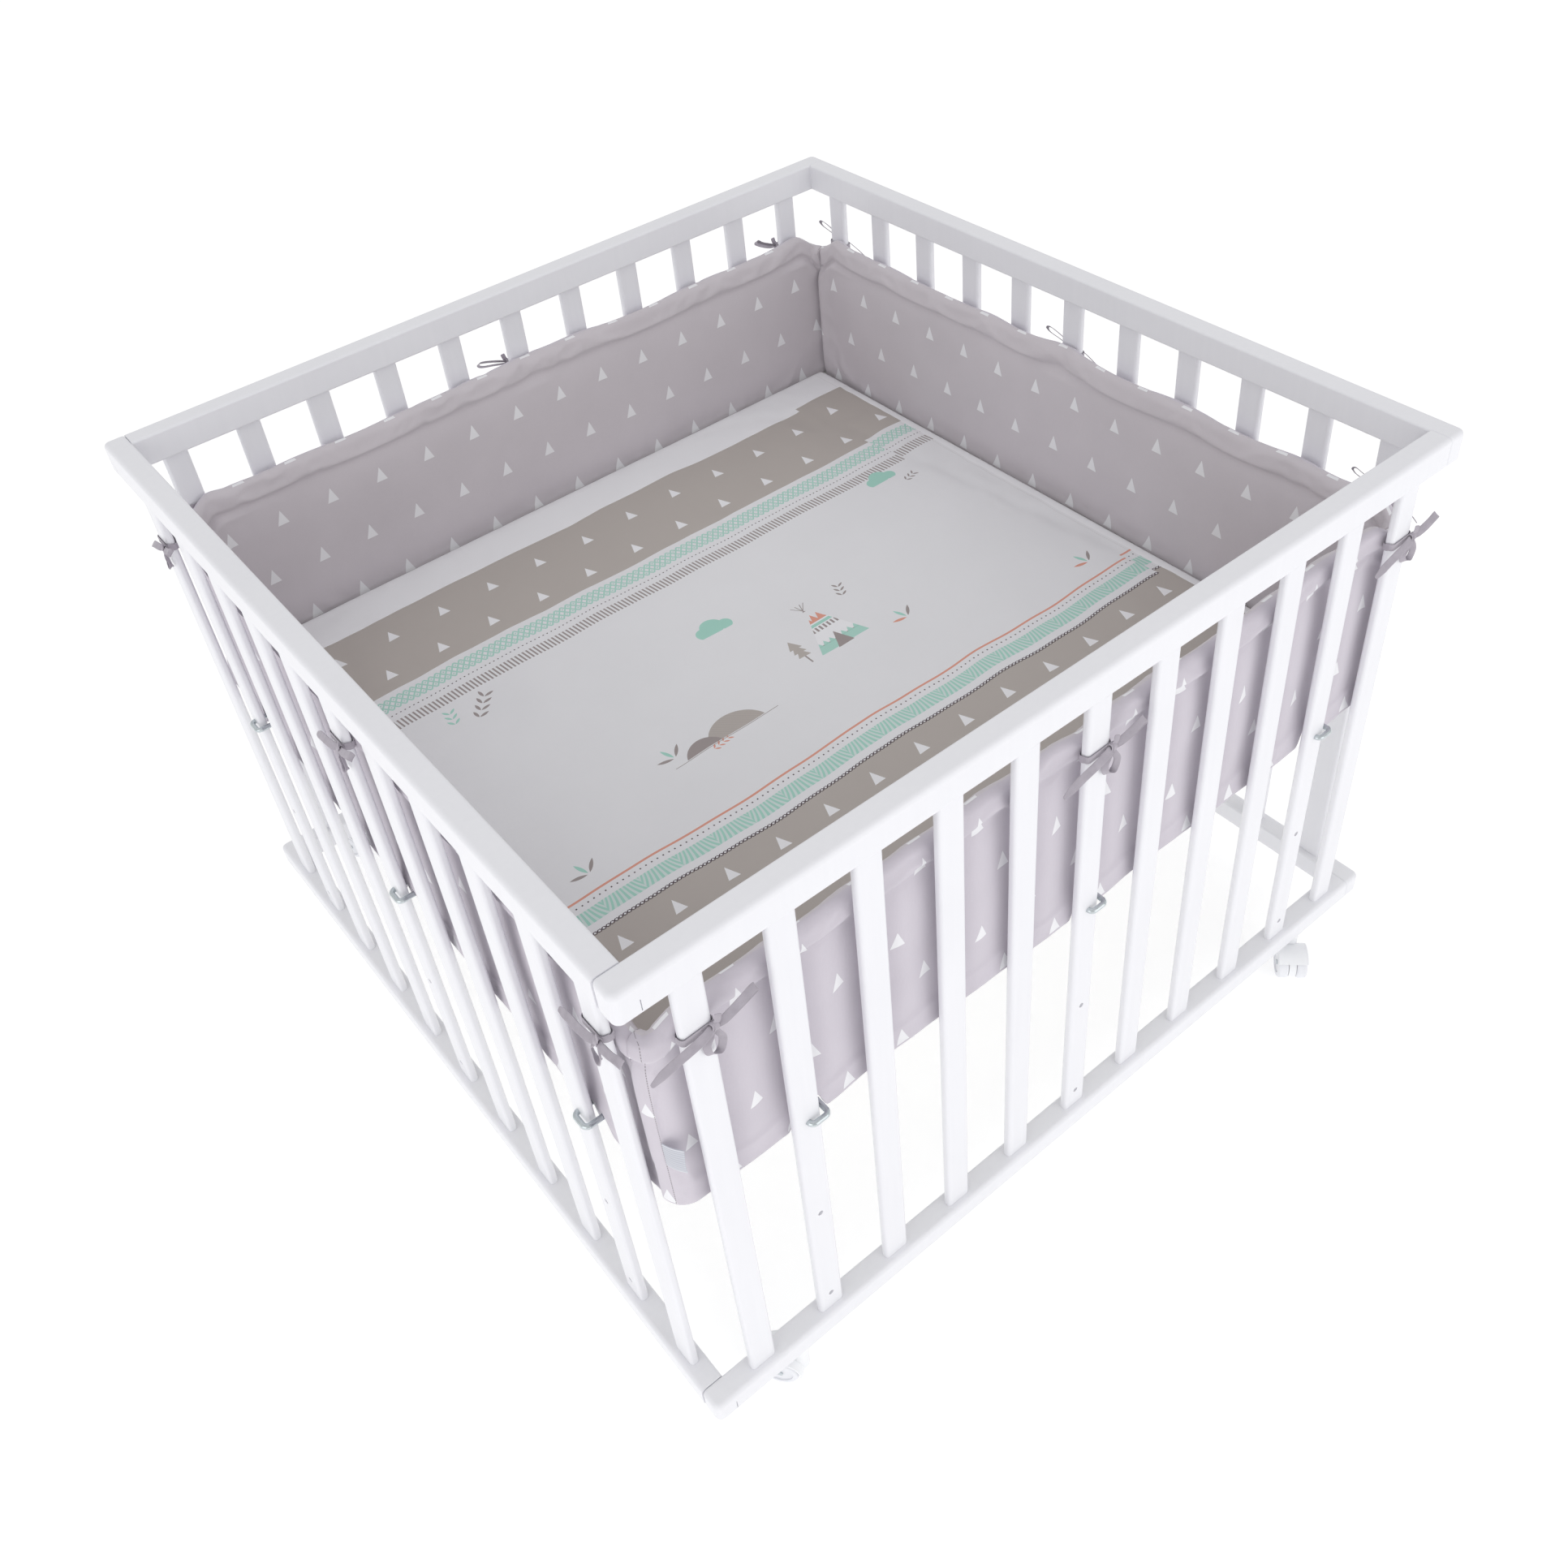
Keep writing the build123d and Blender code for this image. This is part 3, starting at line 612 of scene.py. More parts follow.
def make_wall(side, seed):
    """The front wall's shape with its own waves, blown up, pressed by the slats and turned to its side.
    Its flat map follows the cloth round the corner, so the print keeps its size there."""
    bend, tuck_from = PAD_LEFT + CORNER_ROUND, PAD_RIGHT - CORNER_ROUND
    along = np.concatenate([np.linspace(PAD_LEFT + END_GAP, bend, CORNER_STATIONS, endpoint=False),
                            np.linspace(bend, PAD_RIGHT - END_GAP, STATIONS - CORNER_STATIONS)])
    depth, height, kind = wall_section(along, seed)
    around = depth.shape[1]
    station = np.repeat(along[:, None], around, axis=1)
    outside = np.isin(kind, ("outer", "skirt"))[None, :]
    outer_half = (np.arange(around) < SKIRT_ROWS + BODY_ROWS + TUBE_ROWS)[None, :]
    first_inner = SKIRT_ROWS + BODY_ROWS + TUBE_ROWS - 1
    longer = (np.pi / 2 - 1) * np.clip(bend - station, 0, None)
    flat_along = station - longer * (np.arange(around) < first_inner)
    flat_up = np.repeat(wall_section(np.array([FLAT_STATION]), 0)[1], STATIONS, axis=0)
    flat = np.stack([flat_along, flat_up], axis=-1)
    station, depth = round_the_corner(station, depth, bend)
    tucked = ease(tuck_from, PAD_RIGHT, station) * (outer_half | (kind == "lining")[None, :])
    station, depth = station + TUCK * tucked, depth - TUCK_DEPTH * tucked
    points = np.stack([station, -depth, height], axis=-1)
    piece = ring_mesh(f"wall_{side}", points, flat, first_inner)
    seam = np.zeros(around, bool)
    seam[[SKIRT_ROWS + BODY_ROWS, first_inner, around - 1, 0]] = True
    seam[first_inner + TUBE_ROWS - 1] = True
    pinned = seam | np.isin(kind, ("foot", "lining"))
    pinned = np.repeat(pinned[None, :], STATIONS, axis=0)
    pinned[[0, 1, -2, -1]] = True
    pinned |= np.abs(-flat_along - CORNER_SEAM) < 2.6 * MM
    pinned |= station < bend - CORNER_ROUND * 0.8
    reach = np.where(np.isin(kind, ("outer", "inner")), 6 * MM, 3 * MM)
    points = inflate(piece, pinned.reshape(-1), np.tile(reach, STATIONS)).reshape(points.shape)
    drift = waves(station, height, 0.19, seed) * 1.2 * MM * (1 - corner_turn(station))
    points[..., 1] += drift
    straight = outside & (station > bend) & (station < tuck_from)
    bulge = in_gap(station, height)
    wanted = -points[..., 1] + 5.5 * MM * bulge * straight
    limit = np.where(outer_half, SLAT_BACK - 0.6 * MM + 6 * MM * bulge, PAD_OUT)
    points[..., 1] = -np.minimum(wanted, limit)
    set_points(piece, turned(points, TURNS[side]))
    piece.data.materials.append(WALL_COTTON)
    refine(piece)
    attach(piece, "floor")
    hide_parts(f"wall_pad_{side}", "wall_skirts")
    return piece


WALL_COTTON = wall_cotton()
walls = {side: make_wall(side, seed) for seed, side in enumerate(TURNS)}
for side, piece in walls.items():
    print(piece.name, len(piece.data.polygons), "faces")

# %% [markdown]
# ## The floor mat's print
# The mat is white cotton with printed bands. From the back: a taupe band of triangles, a mint band of
# small diamonds, a dotted line and a grey fringe; then a pale field with clouds, sprigs and a little tent;
# then a coral line, dots, mint bars, cross-stitch and a second taupe band. Every motif is a sum of simple
# masks on the mat's own place, so nothing is drawn by hand. All the motifs are plain generic ones.


# %% Masks for the motifs
def strip(value, middle, half):
    """One within half of the middle."""
    return abs(value - middle) < half


def leaf(across, up, centre, length, heading, slim=0.28):
    """A pointed oval: the place turned to the leaf's heading, where width falls off as 1 - t squared."""
    c, s = math.cos(heading), math.sin(heading)
    dx, dy = across - centre[0], up - centre[1]
    t = (dx * c + dy * s) / (length / 2)
    w = (dy * c - dx * s) / (length / 2 * slim)
    return abs(w) < 1 - t * t


def disc(across, up, centre, radius):
    """One inside a circle."""
    dx, dy = across - centre[0], up - centre[1]
    return dx * dx + dy * dy < radius * radius


def any_of(masks):
    """One where any mask is one."""
    total = masks[0]
    for mask in masks[1:]:
        total = total.most(mask)
    return total


def cloud(across, up, centre, size):
    """Three overlapping discs on a flat foot."""
    x, y = centre
    bumps = any_of([disc(across, up, (x - size * 0.55, y), size * 0.42),
                    disc(across, up, (x, y + size * 0.22), size * 0.58),
                    disc(across, up, (x + size * 0.6, y + size * 0.02), size * 0.38)])
    return bumps * (up > y - size * 0.3)


def sprig(across, up, foot, heading, leaves, size):
    """Pairs of small leaves up a stem."""
    c, s = math.cos(heading), math.sin(heading)
    masks = []
    for step in range(leaves):
        at = (foot[0] + c * size * step, foot[1] + s * size * step)
        for side in (-1, 1):
            turn = heading + side * 0.75
            middle = (at[0] + math.cos(turn) * size * 0.6, at[1] + math.sin(turn) * size * 0.6)
            masks.append(leaf(across, up, middle, size * 1.1, turn, 0.3))
    return any_of(masks)


def blades(across, up, foot, size, headings):
    """Separate leaves that fan out from one foot."""
    return [leaf(across, up, (foot[0] + math.cos(h) * size * 0.62, foot[1] + math.sin(h) * size * 0.62),
                 size, h, 0.22) for h in headings]


# %% Mat print
MINT, TAUPE, CORAL = paint(166, 213, 200), paint(184, 177, 172), paint(222, 158, 140)
INK, FRINGE, BLANK = paint(84, 72, 78), paint(160, 151, 150), paint(238, 238, 241)
FRONT_COLUMN, BACK_COLUMN, BAND_ROW = 66 * MM, 72 * MM, 65 * MM     # spacing of the bands' triangles
MOTIF_WIDE, MOTIF_TALL = 15 * MM, 19 * MM
STEP_FOLD = 8 * MM          # how far the print steps across the fold near the right edge
FOLD_AT, FOLD_SLOPE = 0.409, 0.118      # the fold's x at the mat's middle, and how it leans with y
PRINT_RIGHT, PRINT_BACK = 0.447, 0.392  # beyond these the cloth is plain white
LATTICE_AT, LATTICE_HALF = 0.2365, 0.0115
CROSSES_AT, CROSS = -0.2215, 0.0052
SPRIGS = (((-0.318, 0.140), 0.9, 4, 0.012, FRINGE), ((-0.345, 0.150), 1.4, 3, 0.010, MINT),
          ((0.352, 0.150), 0.3, 3, 0.008, FRINGE), ((-0.150, -0.090), 0.2, 4, 0.007, CORAL),
          ((0.130, 0.020), 1.2, 3, 0.009, FRINGE))      # foot, heading, pairs of leaves, size, colour
HILL_FOOT = -0.083


def mat_cotton():
    """The print in order from back to front, each motif mixed over the last, then weave and creases."""
    recipe = Recipe("mat_fabric", Sheen_Weight=0.2, **COTTON)
    place = recipe.place()
    x, y, z = recipe.split(place)
    ripple = recipe.drawn(place, (8.0, 2.0, 0.0), 1.0) - 0.5
    beyond_fold = x > FOLD_AT - y * FOLD_SLOPE
    y = y - ripple * 0.012 - beyond_fold * STEP_FOLD
    threads = weave(recipe, place)
    cloudy = recipe.noise(place, 10.0, 3.0)
    tone = threads * 0.5 + cloudy * 0.5
    colour = recipe.mix(tone, paint(226, 226, 229), paint(237, 237, 240))
    printed = x < PRINT_RIGHT
    taupe_back = (y > 0.257) * (y < PRINT_BACK) * printed
    back_row = triangles(x, y - 0.2875, BACK_COLUMN, BAND_ROW, MOTIF_WIDE, MOTIF_TALL)
    band = strip(y, LATTICE_AT, LATTICE_HALF) * printed
    lattice = (abs((x / 0.0085).fraction() - 0.5)
               + abs(((y - LATTICE_AT) / LATTICE_HALF).fraction() - 0.5))
    dots = ((x / 0.0058).fraction() < 0.3) * printed
    fringe = (((x + y * 0.12) / 0.0052).fraction() < 0.45) * strip(y, 0.1975, 0.0085) * printed
    dots_below = strip(y, -0.1822, 0.0009) * strip((x / 0.0072).fraction(), 0.5, 0.12)
    slant = (x / 0.046).fraction() - 0.5
    bars = ((x + (y + 0.2) * slant * 1.1) / 0.0054).fraction() < 0.5
    across, down = (x / CROSS).fraction() - 0.5, (y - CROSSES_AT) / CROSS
    crosses = (abs(abs(across) - abs(down)) < 0.17) * strip(y, CROSSES_AT, 0.0022)
    front_row = triangles(x - 0.016, y + 0.2480, FRONT_COLUMN, BAND_ROW, MOTIF_WIDE, MOTIF_TALL)
    layers = [(taupe_back, TAUPE), (taupe_back * back_row, BLANK),
              (band * (abs(lattice - 0.5) < 0.16) * 0.9, MINT), (band * (lattice < 0.16) * 0.8, MINT),
              (dots * strip(y, 0.2165, 0.0008), INK), (fringe, FRINGE),
              (strip(y, -0.1742, 0.0014), CORAL), (dots_below, INK),
              (strip(y, -0.1995, 0.0096) * (bars * 0.62 + 0.38), MINT),
              (y < -0.222, TAUPE), (crosses, INK), ((y < -0.228) * front_row, BLANK),
              (cloud(x, y, (0.330, 0.176), 0.024), MINT), (cloud(x, y, (-0.026, 0.077), 0.026), MINT)]
    for foot, heading, leaves, size, tint in SPRIGS:
        layers.append((sprig(x, y, foot, heading, leaves, size), tint))
    for foot in ((-0.356, -0.152), (-0.190, -0.070), (0.392, -0.148), (0.160, -0.070)):
        green, grey, red = blades(x, y, foot, 0.020, (1.9, 0.9, 2.9))
        layers += [(green, MINT), (grey, FRINGE), (red, CORAL if foot[0] > 0 else FRINGE)]
    layers += tent(x, y, (0.074, -0.055), 0.085)
    layers += little_hills(x, y)
    for mask, paint_over in layers:
        colour = recipe.mix(mask, colour, paint_over)
    in_white = (y > PRINT_BACK).most(x > PRINT_RIGHT)
    colour = recipe.mix(in_white, colour, recipe.mix(tone, paint(236, 236, 239), paint(244, 244, 247)))
    hem = stitches(x, y - 0.3885).most(stitches(y, x - 0.4435))
    colour = recipe.mix(hem * (z > 0.45) * 0.25, colour, FRINGE)
    creases = recipe.drawn(place, (9.0, 30.0, 10.0), 5.0, 0.55, (0.0, 0.0, 0.25))
    cross_creases = recipe.drawn(place, (26.0, 7.0, 10.0), 4.0, 0.5, (0.0, 0.0, -0.3))
    height = threads * 0.10 + creases * 0.8 + cross_creases * 0.5
    return recipe.feed(Base_Color=colour, Roughness=0.8 + threads * 0.12,
                       Normal=recipe.bump(height, 0.0022, 0.5))


def tent(x, y, foot, size):
    """A plain striped tent: a triangle, a dark door, coral teeth, mint and white stripes, four poles."""
    level = (y - foot[1]) / size
    side = abs(x - foot[0] - level * 0.004) / size
    cone = (level > 0) * (level < 1) * (side < (1 - level) * 0.42 + 0.02)
    teeth = abs(((x - foot[0]) / size * 9).fraction() - 0.5) * 0.2
    parts = [(cone * strip(level, 0.45, 0.26), BLANK),
             (cone * strip(level, 0.18, 0.012), FRINGE),
             (cone * (level < 0.17 + teeth) * (level > 0.02) * 0.9, MINT),
             (cone * strip(level, 0.52, 0.05) * (((x - foot[0]) / size * 14).fraction() < 0.5), FRINGE),
             (cone * strip(level, 0.62, 0.03), MINT),
             (cone * (level > 0.68) * (level < 0.72 + teeth * 1.4), CORAL)]
    door = (level > 0) * (level < 0.34) * (side < (0.34 - level) * 0.42)
    poles = any_of([strip(x - foot[0] - (y - foot[1] - size) * lean, 0.0, 0.0006)
                    * (level > 0.97) * (level < 1.16) for lean in (-0.7, -0.2, 0.35, 0.8)])
    return parts + [(door, FRINGE), (poles, FRINGE)]


def little_hills(x, y):
    """Two round hills and a small pine, plain fillings for the field beside the tent."""
    hill = disc(x, y, (-0.112, -0.094), 0.040) * (y > HILL_FOOT)
    small = disc(x, y, (-0.158, -0.092), 0.026) * (y > HILL_FOOT)
    shade = ((x + y) / 0.0042).fraction() < 0.35
    trunk = strip(x, 0.022, 0.0011) * strip(y, -0.047, 0.008)
    pine = any_of([(y > foot) * (abs(x - 0.022) < (foot + 0.017 - y) * 0.52)
                   for foot in (-0.040, -0.031, -0.022)])
    ground = strip(y, -0.0845, 0.0004) * (x > -0.20) * (x < -0.055)
    return [(hill, TAUPE), (hill * shade * 0.35, FRINGE), (small, FRINGE), (trunk, FRINGE), (pine, TAUPE),
            (ground, FRINGE)]


# %% [markdown]
# ## The mat
# A square pad, soft at its edges, a little hollow and hilly on top as wadding is under cotton that has
# been unfolded. It is two grids, upper and lower, sewn at their rims, blown up with little pressure and
# held flat where it lies on the board.

# %% Make the mat
MAT_LOW, MAT_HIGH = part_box("floor_mat")
MAT_CELLS = 84
MAT_RIM = 11 * MM


def ridge(away, width):
    """One on a line, and falling to either side as a bell does."""
    return np.exp(-(away / width) ** 2)


def make_mat():
    """Height over the square: full in the middle and falling as a quarter circle at the rims."""
    line = np.linspace(-1, 1, MAT_CELLS + 1)
    line = np.sign(line) * (1 - (1 - np.abs(line)) ** 1.15)
    half = (MAT_HIGH.x - MAT_LOW.x) / 2 - 0.6 * MM
    x, y = np.meshgrid(line * half, line * half, indexing="ij")
    edge = np.minimum(half - np.abs(x), half - np.abs(y))
    fall = np.clip(1 - edge / MAT_RIM, 0, 1)
    rise = np.sqrt(1 - fall ** 2)
    thick = MAT_HIGH.z - MAT_LOW.z
    soft = ease(0, 0.05, edge)
    upper = MAT_LOW.z + thick * 0.42 + (thick * 0.54) * rise - 1.0 * MM * soft
    band = ease(0.24, 0.27, y) * (1 - ease(0.385, 0.40, y)) + ease(-0.21, -0.24, y)
    puckers = waves(x, y * 0.25, 0.045, 5) * band * 0.9 * MM
    fold_at = FOLD_AT - FOLD_SLOPE * y
    fold = 1.6 * MM * ridge(x - fold_at, 0.005) - 1.2 * MM * ridge(x - fold_at - 0.012, 0.006)
    old_fold = 0.7 * MM * (ridge(x + 0.02, 0.006) + ridge(y - 0.02, 0.006))
    hills = waves(x, y, 0.30, 3) * 1.3 * MM + waves(x, y, 0.11, 4) * 0.5 * MM
    upper = upper + soft * (hills + puckers + fold + old_fold)
    lower = MAT_LOW.z + 0.4 * MM + thick * 0.42 * (1 - rise)
    top, bottom = np.stack([x, y, upper], axis=-1), np.stack([x, y, lower], axis=-1)
    piece = sewn_grids("mat", top, bottom)
    count = (MAT_CELLS + 1) ** 2
    pinned = np.ones(2 * count, bool)
    inner = np.zeros(x.shape, bool)
    inner[2:-2, 2:-2] = True
    pinned[:count] = ~inner.reshape(-1)
    pinned[:count] |= (np.abs(x - fold_at) < 0.004).reshape(-1)
    reach = np.full(2 * count, 2.0 * MM)
    moved = inflate(piece, pinned, reach, pressure=0.6, surplus=0.006)
    moved[:, 2] = np.minimum(moved[:, 2], MAT_HIGH.z + 1.5 * MM)
    set_points(piece, moved)
    piece.data.materials.append(MAT_COTTON)
    refine(piece)
    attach(piece, "floor")
    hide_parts("floor_mat")
    return piece


def sewn_grids(name, top, bottom):
    """A closed mesh of an upper and a lower grid, with one strip of quads round the rim."""
    rows, columns = top.shape[:2]
    index = np.arange(rows * columns).reshape(rows, columns)
    under = index + rows * columns
    up = quads(index[:-1, :-1], index[1:, :-1], index[1:, 1:], index[:-1, 1:])
    down = quads(under[:-1, :-1], under[:-1, 1:], under[1:, 1:], under[1:, :-1])
    rim = np.concatenate([index[:-1, 0], index[-1, :-1], index[:0:-1, -1], index[0, :0:-1]])
    after = np.roll(rim, -1)
    side = quads(rim, rim + rows * columns, after + rows * columns, after)
    mesh = mesh_from(name, np.concatenate([top, bottom]), np.concatenate([up, down, side]))
    mesh.shade_smooth()
    return show(name, mesh)


MAT_COTTON = mat_cotton()
mat = make_mat()
print(mat.name, len(mat.data.polygons), "faces")

# %% [markdown]
# ## Ribbons and bows
# Three ribbons on each wall go round a slat and are tied outside. A ribbon is the same cotton, folded and
# stitched flat. It is modelled directly: a flat section is carried along a path, and each path has its
# own direction for the ribbon's width, which is what makes a loop look tied.


# %% Flat section along a path
RIBBON_WIDE, RIBBON_THICK = 8.5 * MM, 1.2 * MM


def through(points, count):
    """A smooth line through the points: cubic pieces whose slopes come from each point's neighbours."""
    points = np.asarray(points, float)
    padded = np.concatenate([2 * points[:1] - points[1:2], points, 2 * points[-1:] - points[-2:-1]])
    pieces = len(points) - 1
    t = np.linspace(0, pieces, count)
    i = np.minimum(t.astype(int), pieces - 1)
    f = (t - i)[:, None]
    a, b, c, d = padded[i], padded[i + 1], padded[i + 2], padded[i + 3]
    return b + 0.5 * f * (c - a + f * (2 * a - 5 * b + 4 * c - d + f * (3 * (b - c) + d - a)))


def carry_ribbon(path, width_way, wide, closed):
    """Rings of a ten-point flat oval: half the width along width_way, half the thickness across it."""
    ahead = np.gradient(path, axis=0)
    if closed:
        ahead = np.roll(path, -1, axis=0) - np.roll(path, 1, axis=0)
    ahead /= np.linalg.norm(ahead, axis=1, keepdims=True)
    across = width_way - ahead * np.sum(width_way * ahead, axis=1, keepdims=True)
    across /= np.linalg.norm(across, axis=1, keepdims=True)
    face = np.cross(ahead, across)
    a = np.array([-1, -0.9, -0.35, 0.35, 0.9, 1, 0.9, 0.35, -0.35, -0.9]) * 0.5
    b = np.array([0, 0.85, 0.6, 0.6, 0.85, 0, -0.85, -0.6, -0.6, -0.85]) * 0.5
    wide = np.broadcast_to(wide, len(path))
    return (path[:, None] + across[:, None] * (a[None] * wide[:, None])[..., None]
            + face[:, None] * (b * RIBBON_THICK)[None, :, None])


def ring_faces(rings, around, closed, first):
    """Quads between rings, and an end face at each end of an open run, for points that start at first."""
    index = np.arange(rings * around).reshape(rings, around) + first
    start, stop = (index, np.roll(index, -1, axis=0)) if closed else (index[:-1], index[1:])
    next_start, next_stop = np.roll(start, -1, axis=1), np.roll(stop, -1, axis=1)
    faces = quads(start, next_start, next_stop, stop).tolist()
    if not closed:
        faces += [index[0, ::-1].tolist(), index[-1].tolist()]
    return faces


# %% One bow
TIE_Z = PAD_TOP - 14.3 * MM         # the middle of the ribbon
KNOT = np.array([13, 3.6, 0.5])     # from the slat's centre: along, outward and up, in millimetres


def ring_path():
    """Round the slat: a rounded oblong, slack at the back where it meets the pad."""
    turn = np.linspace(0, 2 * np.pi, 60, endpoint=False)
    half_wide, half_deep, corner = SLAT_WIDTH / 2 / MM + 1.3, (SLAT_FACE - SLAT_BACK) / 2 / MM + 1.3, 4.6
    along = np.sign(np.cos(turn)) * (half_wide - corner) + corner * np.cos(turn)
    out = np.sign(np.sin(turn)) * (half_deep - corner) + corner * np.sin(turn)
    smooth_along = (along + np.roll(along, 1) + np.roll(along, -1)) / 3
    smooth_out = (out + np.roll(out, 1) + np.roll(out, -1)) / 3
    slack = np.where(np.sin(turn) < 0, -1.0, 0)
    centre = -(SLAT_FACE - SLAT_BACK) / 2 / MM
    return np.stack([smooth_along, smooth_out + centre + slack * np.exp(-(smooth_along / 9) ** 2),
                     -2.0 * (smooth_out < 0) + 0.8 * smooth_along / half_wide], axis=-1)


def gathered(count, run, shares):
    """Widths along a run of ribbon: its share at each end, and over each end's first few points."""
    return RIBBON_WIDE * np.interp(np.arange(count), (0, run, count - 1 - run, count - 1), shares)


def bow_parts(draw):
    """For the ring, tail, loop, hanging loop, stub and the knot's two wraps: path, direction of the
    width, width, and whether the path closes."""
    long, droop, lift, lean = (draw.uniform(*limits)
                               for limits in ((0.88, 1.12), (-5, 6), (-5, 5), (-4, 4)))
    x, y, z = KNOT
    tail = [(x, y, z), (x - 9, y + 3.2, z - 0.5), (x - 24, y + 3.8, z - 4 + droop * 0.2),
            (x - 42 * long, y + 2.8, z - 10 + droop * 0.6), (x - 58 * long, y + 1.6, z - 18 + droop)]
    loop = [(x, y, z + 0.5), (x + 10, y + 2.2, z + 4), (x + 24, y + 3.0, z + 9.5 + lift * 0.5),
            (x + 35 * long, y + 2.4, z + 14 + lift), (x + 38 * long, y + 1.4, z + 11.5 + lift),
            (x + 33 * long, y + 0.9, z + 8 + lift), (x + 20, y + 1.2, z + 3.5 + lift * 0.5),
            (x + 9, y + 0.6, z + 0.2), (x, y, z - 1)]
    hang = [(x, y, z - 1), (x + 2 + lean * 0.3, y + 1.4, z - 8), (x + 5 + lean, y + 2.0, z - 17),
            (x + 1 + lean, y + 1.8, z - 27 * long), (x - 8 + lean, y + 1.2, z - 26 * long),
            (x - 10 + lean, y + 0.9, z - 17), (x - 5 + lean * 0.3, y + 0.6, z - 8), (x - 1, y, z - 1)]
    stub = [(x, y, z), (x + 3, y + 1.5, z + 6), (x + 5, y + 1.2, z + 13)]
    turn = np.linspace(0, 2 * np.pi, 24, endpoint=False)
    wrap = np.stack([x + 0.5 * np.sin(turn * 2), y + 2.9 * np.cos(turn), z + 4.4 * np.sin(turn)], axis=-1)
    return [(ring_path(), (0, 0, 1), RIBBON_WIDE, True),
            (through(tail, 26), (0.05, -0.75, 0.8), gathered(26, 4, (0.55, 1, 0.95, 0.45)), False),
            (through(loop, 44), (-0.15, -0.75, 0.66), gathered(44, 6, (0.55, 0.9, 0.9, 0.5)), False),
            (through(hang, 40), (0.8, 0.55, 0.25), gathered(40, 6, (0.5, 0.85, 0.85, 0.5)), False),
            (through(stub, 12), (0.9, 0.3, -0.3), RIBBON_WIDE * 0.7, False),
            (wrap, (1, 0.12, 0.1), RIBBON_WIDE * 0.8, True),
            (wrap + np.array([1.1, 0.2, 0.3]), (1, -0.15, 0.2), RIBBON_WIDE * 0.6, True)]


def tie_bow(side, number, slat):
    """A bow's parts in one mesh, set at its slat and turned to its side."""
    draw = np.random.default_rng(100 + 10 * number + list(TURNS).index(side))
    points, faces, first = [], [], 0
    for path, way, wide, closed in bow_parts(draw):
        rings = carry_ribbon(path * MM, np.array(way, float), wide, closed)
        faces += ring_faces(*rings.shape[:2], closed, first)
        points.append(rings.reshape(-1, 3))
        first += rings.shape[0] * rings.shape[1]
    local = np.concatenate(points)
    local = np.stack([local[:, 0] + slat, -(SLAT_FACE + local[:, 1]), local[:, 2] + TIE_Z], axis=-1)
    mesh = mesh_from(f"bow_{side}_{number}", turned(local, TURNS[side]), faces)
    mesh.shade_smooth()
    mesh.materials.append(RIBBON)
    piece = show(mesh.name, mesh)
    refine(piece)
    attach(piece, "floor")
    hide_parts("wall_ties")
    return piece


def ribbon_cotton():
    """The plain side of the wall's cotton with no triangles, painted darker all over than the wall as
    painted shade on the bows.
    """
    recipe = Recipe("ribbon_cotton", Sheen_Weight=0.25, **COTTON)
    place = recipe.place()
    threads = weave(recipe, place)
    cloudy = recipe.noise(place, 120.0, 3.0)
    creases = recipe.noise(place, 330.0, 3.0)
    # painted shade: the same cotton as the walls, its colour set darker so the bows look shaded
    colour = recipe.mix(threads * 0.4 + cloudy * 0.6, paint(150, 144, 153), paint(190, 184, 193))
    return recipe.feed(Base_Color=colour, Roughness=0.8 + threads * 0.12,
                       Normal=recipe.bump(threads * 0.3 + creases * 0.7, 0.0008, 0.6))


RIBBON = ribbon_cotton()
bows = [tie_bow(side, number, slat) for side in TURNS for number, slat in enumerate(TIES, start=1)]
print(len(bows), "bows")

# %% [markdown]
# ## The cloth tab
# A small blank woven tab is one thin curved sheet. One edge is sewn into the near corner's upright seam,
# and the other stands out like a small flag.

# %% Make the tab
TAB_LOW, TAB_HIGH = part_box("care_label")
TAB_WIDE, TAB_TALL = TAB_HIGH.x - TAB_LOW.x, TAB_HIGH.z - TAB_LOW.z
TAB_TURN = math.radians(60)     # from the front wall's line, outwards
TAB_COLUMNS, TAB_ROWS = 13, 19


def make_tab():
    """Straight out from the corner's seam, bowed sideways by a sine over the width, and a little lower
    towards the free edge."""
    u, v = np.meshgrid(np.linspace(0, 1, TAB_COLUMNS), np.linspace(0, 1, TAB_ROWS), indexing="ij")
    seam_turn = (CORNER_SEAM + PAD_LEFT + CORNER_ROUND) / CORNER_ROUND
    centre_x, centre_y = PAD_LEFT + CORNER_ROUND, -(PAD_OUT - SET_BACK - CORNER_ROUND)
    bow_out = 1.6 * MM * np.sin(u * np.pi) + 0.8 * MM * u * np.sin(v * 5.0)
    x = centre_x - CORNER_ROUND * math.sin(seam_turn) + TAB_WIDE * u * math.cos(TAB_TURN) - bow_out
    y = centre_y - CORNER_ROUND * math.cos(seam_turn) - TAB_WIDE * u * math.sin(TAB_TURN)
    z = TAB_LOW.z - 6 * MM + TAB_TALL * v - 2.5 * MM * u ** 1.5
    points = np.stack([x, y, z], axis=-1)
    index = np.arange(TAB_COLUMNS * TAB_ROWS).reshape(TAB_COLUMNS, TAB_ROWS)
    faces = quads(index[:-1, :-1], index[1:, :-1], index[1:, 1:], index[:-1, 1:])
    mesh = mesh_from("cloth_tab", points, faces)
    where = np.stack([TAB_WIDE * u, TAB_TALL * v], axis=-1).reshape(-1, 2)[faces.reshape(-1)]
    lay_out(mesh, where)
    mesh.shade_smooth()
    mesh.materials.append(tab_cloth())
    piece = show("cloth_tab", mesh)
    thick = piece.modifiers.new("thick", "SOLIDIFY")
    thick.thickness, thick.offset = 0.9 * MM, 0
    refine(piece)
    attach(piece, "floor")
    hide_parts("care_label")
    return piece


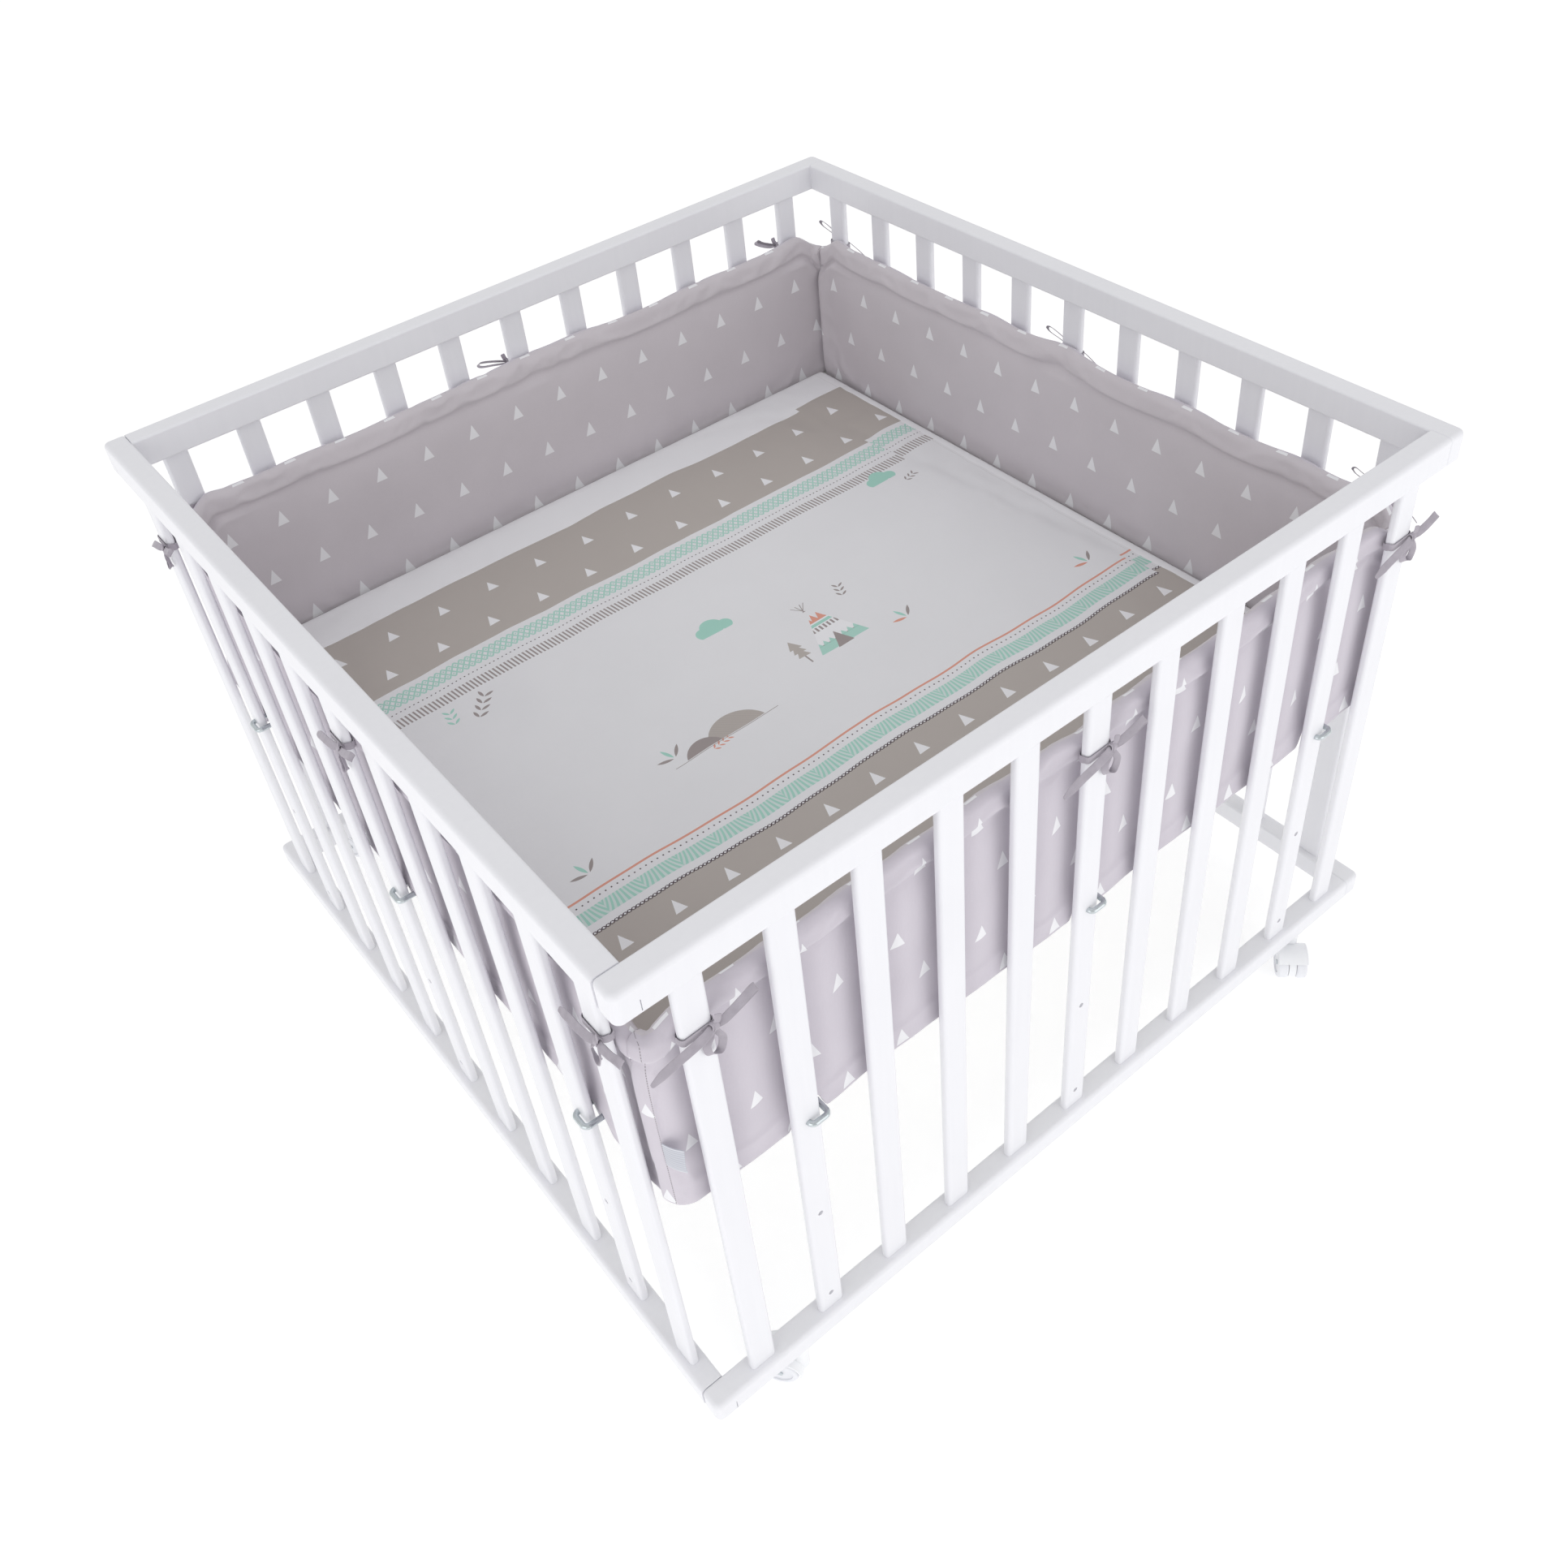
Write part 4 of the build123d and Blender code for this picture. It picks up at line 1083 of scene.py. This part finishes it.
def tab_cloth():
    """Satin tape: fine ribs along it, a plain woven border, and no lettering."""
    recipe = Recipe("label_cloth", Sheen_Weight=0.3, Specular_IOR_Level=0.4)
    along, up, _ = recipe.split(recipe.cloth_map())
    ribs = (up / (0.5 * MM)).sine() * 0.5 + 0.5
    from_middle = abs(up - TAB_TALL / 2)
    border = (from_middle > TAB_TALL / 2 - 2.0 * MM) * (from_middle < TAB_TALL / 2 - 1.2 * MM)
    colour = recipe.mix(ribs, paint(178, 180, 190), paint(198, 200, 209))
    colour = recipe.mix(border * 0.6, colour, paint(232, 233, 238))
    return recipe.feed(Base_Color=colour, Roughness=0.5 + ribs * 0.15, Normal=recipe.bump(ribs, 0.0002, 0.4))


tab = make_tab()
print("tab", round(TAB_WIDE * 1000), "by", round(TAB_TALL * 1000), "mm")

# %% [markdown]
# ## Floor and light
# A plain white floor in an even white room. Most light comes from all round, and two large soft panels
# near the eye lift the outer faces a little above the rails' upper faces.


# %% Studio
FLOOR_GLOW, ROOM_LIGHT = 0.3, 0.79
FLOOR_RADII, FLOOR_CORNERS = (0.02, 2.0, 12.0), 96


def add_floor():
    """A wide disc at floor level, white, and a little brighter than the light makes it."""
    turns = np.linspace(0, 2 * np.pi, FLOOR_CORNERS + 1)[:-1]
    ring = np.stack([np.outer(FLOOR_RADII, np.cos(turns)), np.outer(FLOOR_RADII, np.sin(turns)),
                     np.zeros((len(FLOOR_RADII), FLOOR_CORNERS))], axis=-1)
    index = np.arange(ring.shape[0] * FLOOR_CORNERS).reshape(-1, FLOOR_CORNERS)
    nxt = np.roll(index, -1, axis=1)
    faces = quads(index[:-1], index[1:], nxt[1:], nxt[:-1]).tolist() + [index[0].tolist()]
    mesh = mesh_from("studio_floor", ring, faces)
    floor = show("studio_floor", mesh)
    recipe = Recipe("studio_floor", Roughness=0.9, Specular_IOR_Level=0.1, Emission_Strength=FLOOR_GLOW)
    mesh.materials.append(recipe.feed(Base_Color=(0.93, 0.93, 0.93), Emission_Color=(1.0, 1.0, 1.0)))
    return floor


def add_panel(name, place, aim, size, power):
    """A square soft light at a place, facing an aim point."""
    light = bpy.data.lights.new(name, "AREA")
    light.size, light.energy = size, power
    lamp = show(name, light)
    away = np.array(place, float) - np.array(aim, float)
    away /= np.linalg.norm(away)
    side = np.cross((0, 0, 1), away)
    side /= np.linalg.norm(side)
    lamp.matrix_world = axes_matrix(side, np.cross(away, side), away, place)


add_floor()
room = bpy.data.worlds.new("room")
room.use_nodes = True
room.node_tree.nodes["Background"].inputs["Color"].default_value = (1, 1, 1, 1)
room.node_tree.nodes["Background"].inputs["Strength"].default_value = ROOM_LIGHT
bpy.context.scene.world = room
bpy.context.scene.view_settings.view_transform = "Standard"
add_panel("left_panel", (-3.2, -1.2, 1.5), (0, 0, 0.5), 2.4, 17)
add_panel("front_panel", (0.9, -3.4, 1.5), (0, 0, 0.5), 2.4, 17)
print("studio lit")
